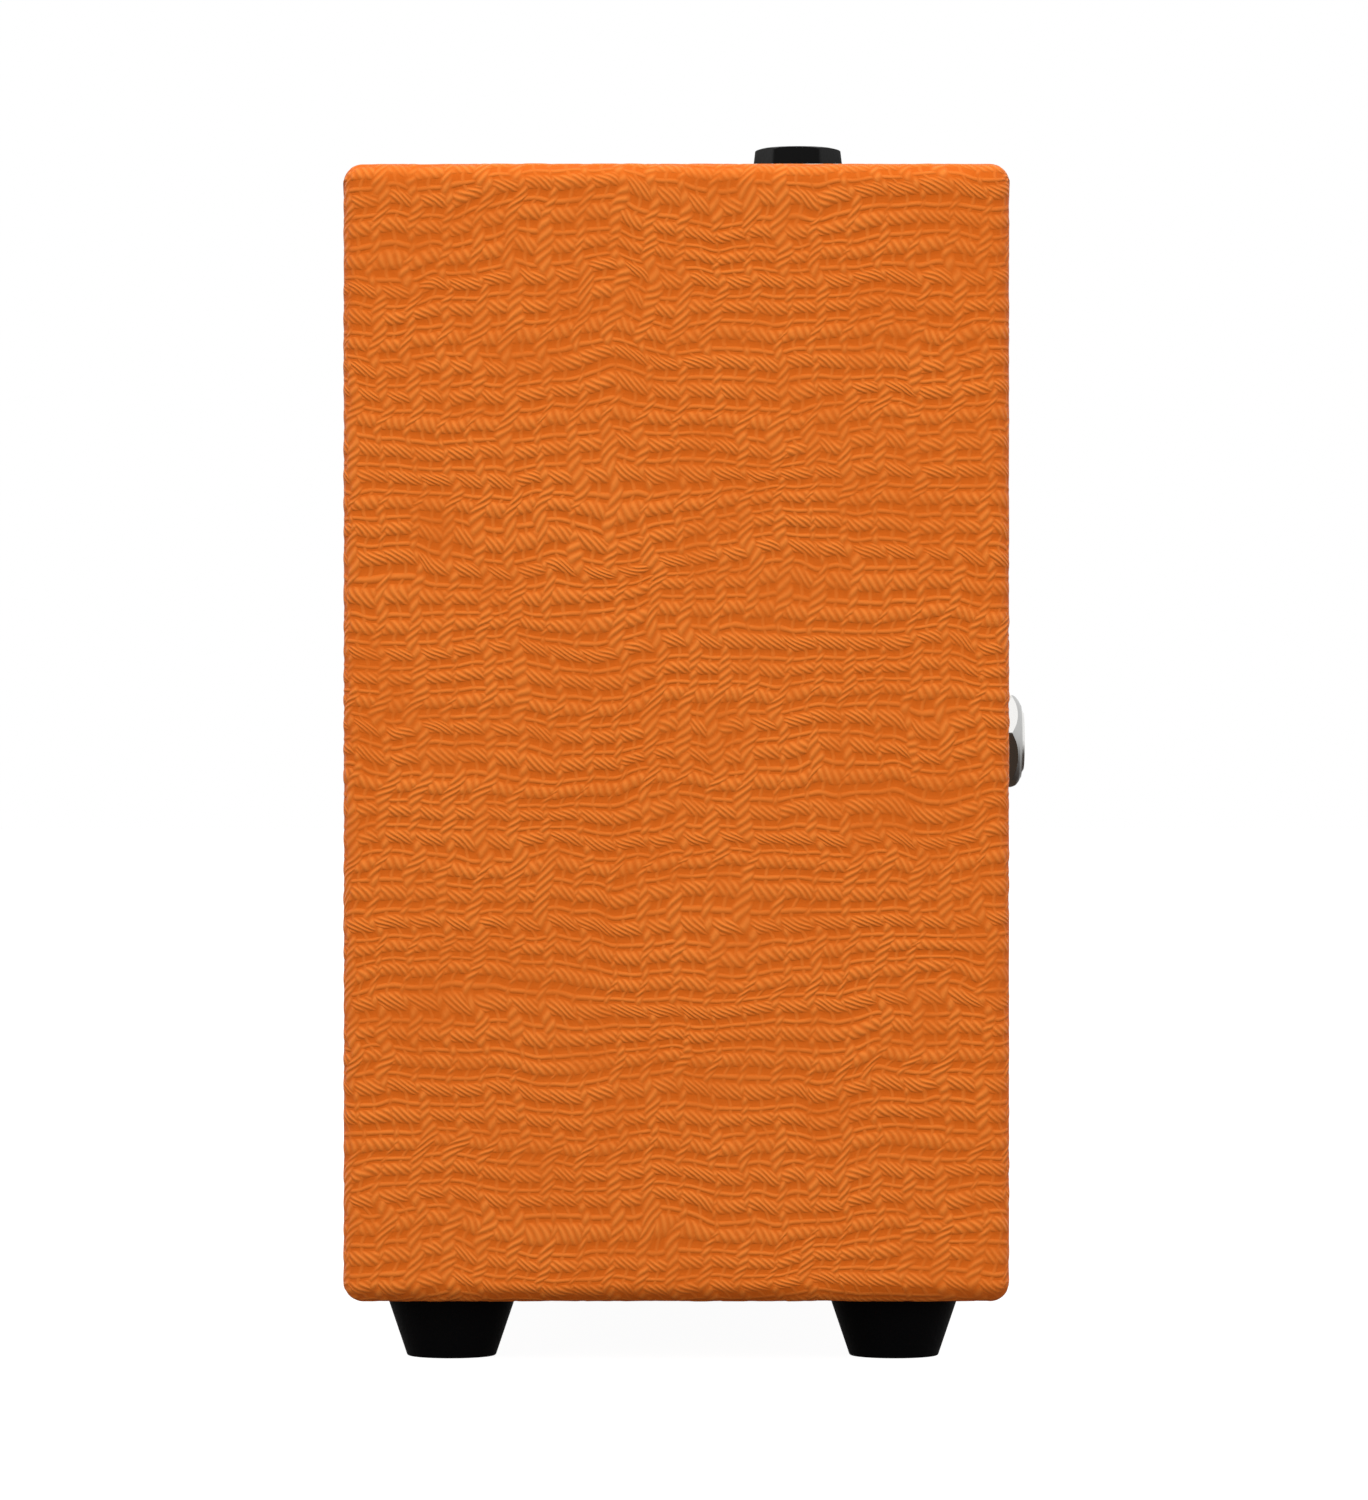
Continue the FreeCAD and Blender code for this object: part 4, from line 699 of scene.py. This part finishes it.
def nut(name, node, slot, material, axis, flats, bore, turn, crown, draft=0.0):
    """A hexagon nut with a turned crown that leaves scalloped edges on its flats.

    turn is the angle of a corner about axis, and draft is how much nearer the flats are at the top.
    crown lists (radius, drop) of the chamfer, from the bore outwards.
    """
    low, high = (Vector(c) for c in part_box(node))
    centre = (low + high) / 2
    thick = (high - low)["xyz".index(axis)]
    count, rings = 180, 8
    lip = 0.25 * MM  # the rounded edge of the bore

    def drop(radius):
        for (r0, d0), (r1, d1) in zip(crown, crown[1:]):
            if radius <= r1:
                return d0 + (d1 - d0) * max(0.0, radius - r0) / (r1 - r0)
        return crown[-1][1]

    def edge(angle, height):
        """Distance from the axis to the flats, with the six corners eased by 0.05 mm."""
        local = abs((angle - turn + math.pi / 6) % (math.pi / 3) - math.pi / 6)
        reach = (flats / 2 - draft * height / thick) / math.cos(math.pi / 6 - local)
        return reach - 0.05 * MM * math.exp(-((local / 0.05) ** 2))

    points = []
    for i in range(count):
        angle = 2 * math.pi * i / count
        inner, outer = bore + lip, edge(angle, thick)
        ring = [(bore, 0.0), (bore, thick - lip), (bore + 0.06 * MM, thick - 0.1 * MM), (inner, thick)]
        for k in range(1, rings + 1):
            radius = inner + (outer - inner) * k / rings
            ring.append((radius, thick - drop(radius)))
        # down the flat: a faint burr under the crown, the middle, and an eased foot
        top = thick - drop(outer)
        ring.append((edge(angle, top) + 0.02 * MM, top - 0.08 * MM))
        ring.append((edge(angle, 0.5 * top), 0.5 * top))
        ring += [(edge(angle, 0.0), 0.12 * MM), (edge(angle, 0.0) - 0.1 * MM, 0.0)]
        for radius, height in ring:
            a, b = radius * math.cos(angle), radius * math.sin(angle)
            if axis == "z":
                points.append((centre.x + a, centre.y + b, low.z + height))
            else:
                points.append((centre.x + a, low.y + height, centre.z + b))
    faces = grid_faces(count, len(points) // count, wrap=True)
    if axis == "z":
        faces = [f[::-1] for f in faces]
    piece = mesh_object(name, points, faces, material)
    made = piece.modifiers.new("crisp", "EDGE_SPLIT")
    made.split_angle = math.radians(24)
    settle(piece, "cabinet", slot, node)


def knob(name, material, pointer_material):
    """A fluted knob with a dished top, and a pointer line let into it."""
    node, body = f"{name}_knob", f"{name}_control"
    low, high = (Vector(c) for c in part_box(node))
    centre, wide, tall = (low + high) / 2, (high.x - low.x) / 2, high.z - low.z
    flutes, groove = 18, 0.055  # how many, and how deep as a part of the knob's radius
    around = 12 * flutes
    # radius and height as parts of the knob's, and how much of the flutes' depth is cut there
    profile = [
        (0.40, 0.02, 0.0), (0.97, 0.0, 0.0), (1.0, 0.03, 0.0), (1.0, 0.11, 0.0), (0.97, 0.15, 0.2),
        (0.955, 0.20, 1.0), (0.925, 0.45, 1.0), (0.895, 0.70, 1.0), (0.87, 0.86, 1.0), (0.86, 0.92, 0.5),
        (0.84, 0.965, 0.1), (0.80, 0.99, 0.0), (0.75, 1.0, 0.0), (0.70, 0.985, 0.0), (0.62, 0.965, 0.0),
        (0.30, 0.955, 0.0), (0.001, 0.952, 0.0),
    ]
    points = []
    for i in range(around):
        angle = 2 * math.pi * i / around
        scallop = max(0.0, math.cos(flutes * angle)) ** 0.7
        for radius, height, depth in profile:
            r = wide * (radius - groove * depth * scallop)
            x, y = centre.x + r * math.cos(angle), centre.y + r * math.sin(angle)
            points.append((x, y, low.z + tall * height))
    faces = [f[::-1] for f in grid_faces(around, len(profile), wrap=True)]
    settle(mesh_object(f"{name}_cap", points, faces, material), body, "knob_plastic", node)

    # the pointer: half its width, and how far it lies off the plastic, outwards and upwards
    half, out, up = 0.38 * MM, 0.04 * MM, 0.05 * MM
    path = [(0.16, 0.957), (0.62, 0.969), (0.75, 1.003), (0.80, 0.993)]
    path += [(0.85, 0.95), (0.875, 0.86), (0.90, 0.70)]
    line = []
    for radius, height in path:
        y, z = centre.y + wide * radius + out, low.z + tall * height + up
        line += [(centre.x - half, y, z), (centre.x + half, y, z)]
    mark = mesh_object(f"{name}_pointer", line, grid_faces(len(line) // 2, 2), pointer_material)
    made = mark.modifiers.new("thick", "SOLIDIFY")
    made.thickness = 0.08 * MM
    made.offset = 0.0
    settle(mark, body, "knob_plastic")


def bar(points, faces, x0, y0, x1, y1, z, half, tall):
    """Adds a thin printed line from one point to another to a mesh under construction."""
    along = Vector((x1 - x0, y1 - y0)).normalized()
    side = Vector((-along.y, along.x)) * half
    first = len(points)
    for height in (z, z + tall):
        for x, y, s in ((x0, y0, 1), (x0, y0, -1), (x1, y1, -1), (x1, y1, 1)):
            points.append((x + side.x * s, y + side.y * s, height))
    a = range(first, first + 8)
    faces.append((a[4], a[5], a[6], a[7]))
    for k in range(4):
        after = (k + 1) % 4
        faces.append((a[k], a[after], a[4 + after], a[4 + k]))


def panel_print():
    """Scale ticks round the knobs, rings round the small sockets, and a border line on the flange."""
    points, faces = [], []
    knob_gap = 0.6 * MM
    tray_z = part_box("gain_knob")[0][2] - knob_gap
    tall = 0.03 * MM
    inner, short, long = 7.1 * MM, 8.3 * MM, 8.9 * MM
    # eleven ticks over 300 degrees, with the middle one at the back and the gap at the front
    for name in ("gain", "tone", "volume"):
        low, high = (Vector(c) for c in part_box(f"{name}_knob"))
        c = (low + high) / 2
        for k in range(11):
            a = math.radians(-60 + 30 * k)
            outer = long if k % 5 == 0 else short
            ends = [(c.x + r * math.cos(a), c.y + r * math.sin(a)) for r in (inner, outer)]
            bar(points, faces, *ends[0], *ends[1], tray_z, 0.17 * MM, tall)

    low, high = (Vector(c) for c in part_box("control_panel"))
    inset, gap = 1.9 * MM, 3.4 * MM
    x0, x1, y0, y1 = low.x + inset, high.x - inset, low.y + inset, high.y - inset
    corners = [(x0, y0), (x1, y0), (x1, y1), (x0, y1)]
    for start, end in zip(corners, corners[1:] + corners[:1]):
        short_by = (Vector(end) - Vector(start)).normalized() * gap
        start, end = Vector(start) + short_by, Vector(end) - short_by
        bar(points, faces, *start, *end, high.z, 0.16 * MM, tall)

    radius, dashes = 4.6 * MM, 40
    mounts = {mount["name"]: mount["pos_m"] for mount in frame["record"]["mounts"]}
    for name in ("headphone_socket", "aux_socket"):
        x, y, _ = mounts[name]
        for k in range(dashes):
            ends = []
            for part in (k, k + 0.9):
                a = 2 * math.pi * part / dashes
                ends += [x + radius * math.cos(a), y + radius * math.sin(a)]
            bar(points, faces, *ends, tray_z, 0.12 * MM, tall)
    black = ink("black_print", (0.015, 0.015, 0.015))
    settle(mesh_object("panel_print", points, faces, black, smooth=False), "cabinet", "panel_paint")


# ---------------------------------------------------------------- put together


def finish_nodes(chrome):
    """Gives every CAD node that stays in view its own finish."""
    rubber = moulded(
        "black_rubber", (0.0012, 0.0012, 0.0016), rough=0.6, grain=0.00005, scale=1500.0, specular=0.07
    )
    turned = brushed("turned_steel", (0.62, 0.62, 0.60), rough=0.24, stretch=(1400.0, 1400.0, 90.0))
    piping = moulded("black_piping", (0.012, 0.012, 0.012), rough=0.35, grain=0.00006, scale=900.0)
    basket = brushed("zinc_basket", (0.50, 0.50, 0.48), rough=0.36, stretch=(300.0, 300.0, 300.0))
    surround = radial("cone_surround", (0.012, 0.012, 0.013), (0.005, 0.005, 0.005), 3000.0, rough=0.6)
    cone = radial("paper_cone", (0.035, 0.033, 0.031), (0.012, 0.012, 0.012), 1700.0)
    cap = radial("dust_cap_paper", (0.010, 0.010, 0.010), (0.004, 0.004, 0.004), 600.0, rough=0.35)
    coil = brushed("copper_coil", (0.80, 0.36, 0.16), rough=0.3, stretch=(60.0, 9000.0, 60.0))
    magnet = moulded("ferrite", (0.035, 0.035, 0.038), rough=0.6, grain=0.00008, scale=700.0)
    panel_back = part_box("back_panel")[1][1]
    finishes = {
        fibreboard("raw_fibreboard", (0.45, 0.30, 0.17)): (
            "top_board", "bottom_board", "left_side_board", "right_side_board",
        ),
        fibreboard("black_painted_board", (0.018, 0.018, 0.019), rough=0.6): ("front_baffle", "back_panel"),
        pine(): ("front_cleats", "rear_cleats"),
        rubber: FEET,
        brushed("zinc_plated_steel", (0.60, 0.60, 0.58)): (
            "foot_screws", "speaker_screws", "panel_screws", "board_standoffs", "power_switch",
            "speaker_top_plate", "speaker_back_plate",
        ),
        brushed("black_oxide_steel", (0.085, 0.083, 0.082), rough=0.34): ("back_panel_screws",),
        turned: ("gain_pot_shaft", "tone_pot_shaft", "volume_pot_shaft"),
        moulded("black_nylon", (0.010, 0.010, 0.011), rough=0.42): (
            "input_jack", "mini_jacks", "dc_jack", "battery_box", "battery_door",
        ),
        nosed("nickel_nosed_jack", panel_back + 0.05 * MM): ("speaker_out_jack",),
        moulded("glossy_black_plastic", (0.006, 0.006, 0.007), rough=0.24, grain=0.00001): (
            "power_switch_slider", "tuner_button", "battery_snap",
        ),
        moulded("red_wire_sleeve", (0.24, 0.012, 0.010), rough=0.4): (
            "battery_lead", "speaker_lead", "output_lead", "supply_lead",
        ),
        piping: ("grille_piping",),
        painted("cream_panel_paint", (0.74, 0.68, 0.55)): ("control_panel",),
        basket: ("speaker_basket",),
        fibreboard("black_gasket_card", (0.03, 0.027, 0.024)): ("speaker_gasket",),
        surround: ("speaker_surround",),
        cone: ("speaker_cone",),
        cap: ("speaker_dust_cap",),
        coil: ("voice_coil",),
        radial("resin_spider", (0.55, 0.42, 0.17), (0.34, 0.24, 0.08), 2600.0): ("speaker_spider",),
        magnet: ("speaker_magnet",),
        fibreboard("phenolic_strip", (0.20, 0.09, 0.035), rough=0.5): ("speaker_terminals",),
        printed_board(): ("circuit_board",),
        moulded("epoxy_packages", (0.018, 0.019, 0.028), rough=0.4): ("board_components",),
        moulded("pot_cases", (0.03, 0.09, 0.16), rough=0.4): ("potentiometers",),
        lens("red_light_pipe", (0.42, 0.012, 0.008)): ("panel_light_pipes",),
        wrapped_cell(): ("battery",),
        chrome: ("speaker_out_washer",),
    }
    for material, nodes in finishes.items():
        for name in nodes:
            for place in frame["nodes"][name].material_slots:
                place.material = material


def studio():
    """A white room that is dark below its table, the table's pale top, and a broad light overhead."""
    world = bpy.data.worlds.new("white_room")
    world.use_nodes = True
    tree = world.node_tree
    split = tree.nodes.new("ShaderNodeSeparateXYZ")
    fade = tree.nodes.new("ShaderNodeMapRange")
    shade = tree.nodes.new("ShaderNodeMix")
    shade.data_type = "RGBA"
    tree.links.new(tree.nodes.new("ShaderNodeTexCoord").outputs["Generated"], split.inputs[0])
    tree.links.new(split.outputs[2], fade.inputs["Value"])
    tree.links.new(fade.outputs[0], shade.inputs[0])
    tree.links.new(shade.outputs[2], tree.nodes["Background"].inputs["Color"])
    fade.inputs["From Min"].default_value = -0.25
    fade.inputs["From Max"].default_value = -0.03
    shade.inputs[6].default_value = (0.045, 0.032, 0.024, 1.0)
    shade.inputs[7].default_value = (1.0, 1.0, 1.0, 1.0)
    tree.nodes["Background"].inputs["Strength"].default_value = 1.0
    scene = bpy.context.scene
    scene.world = world
    scene.view_settings.view_transform = "Standard"
    lamp = bpy.data.lights.new("overhead", "AREA")
    lamp.size = 0.5
    lamp.energy = 7.0
    overhead = bpy.data.objects.new("overhead", lamp)
    overhead.location = (0.60, -0.05, 1.10)
    aim = Vector((0.05, 0.0, 0.08)) - overhead.location
    overhead.rotation_euler = aim.to_track_quat("-Z", "Y").to_euler()
    overhead.visible_glossy = False
    scene.collection.objects.link(overhead)
    far = 6.0
    corners = [(-far, -far, 0.0), (far, -far, 0.0), (far, far, 0.0), (-far, far, 0.0)]
    floor = mesh_object("floor", corners, [(0, 1, 2, 3)], floor_sheet(), smooth=False)
    glow_reaches = bpy.data.collections.new("floor_glow_reaches")
    glow_reaches.objects.link(floor)
    floor.light_linking.receiver_collection = glow_reaches
    floor.visible_glossy = False


def camera():
    """A level view of the right-hand side."""
    data = bpy.data.cameras.new("side_view")
    data.sensor_fit = "VERTICAL"
    data.sensor_height = 36.0
    distance, frame_high = 905 * MM, 193.36 * MM
    data.lens = data.sensor_height * distance / frame_high
    data.clip_end = 20.0
    # the small offsets put the outline where the photograph has it
    made = bpy.data.objects.new("side_view", data)
    made.location = (HALF_X + distance, CENTRE.y + 0.98 * MM, CENTRE.z - 2.27 * MM)
    made.rotation_euler = (math.pi / 2, 0.0, math.pi / 2)
    bpy.context.scene.collection.objects.link(made)
    bpy.context.scene.camera = made


camera()
studio()
chrome = chromed()
finish_nodes(chrome)
covering()
grille()
black_nut = moulded(
    "satin_black_nut", (0.0012, 0.0012, 0.0013), rough=0.42, grain=0.00002, specular=0.06
)
nut(
    "socket_nut", "input_jack_nut", "jack_plastic", black_nut, axis="z",
    flats=10.6 * MM, bore=4.05 * MM, turn=math.radians(27), draft=0.35 * MM,
    crown=[(4.6 * MM, 0.0), (5.4 * MM, 0.18 * MM), (7.0 * MM, 0.9 * MM)],
)
nut(
    "output_nut", "speaker_out_nut", "nut_chrome", chrome, axis="y",
    flats=11.4 * MM, bore=4.5 * MM, turn=math.radians(9.6),
    crown=[(4.7 * MM, 0.0), (5.4 * MM, 0.35 * MM), (6.0 * MM, 0.85 * MM), (7.0 * MM, 1.9 * MM)],
)
knob_plastic = moulded("knob_plastic_black", (0.008, 0.008, 0.009), rough=0.3, grain=0.00001)
pointer_white = ink("white_pointer", (0.78, 0.78, 0.74))
for control in ("gain", "tone", "volume"):
    knob(control, knob_plastic, pointer_white)
panel_print()
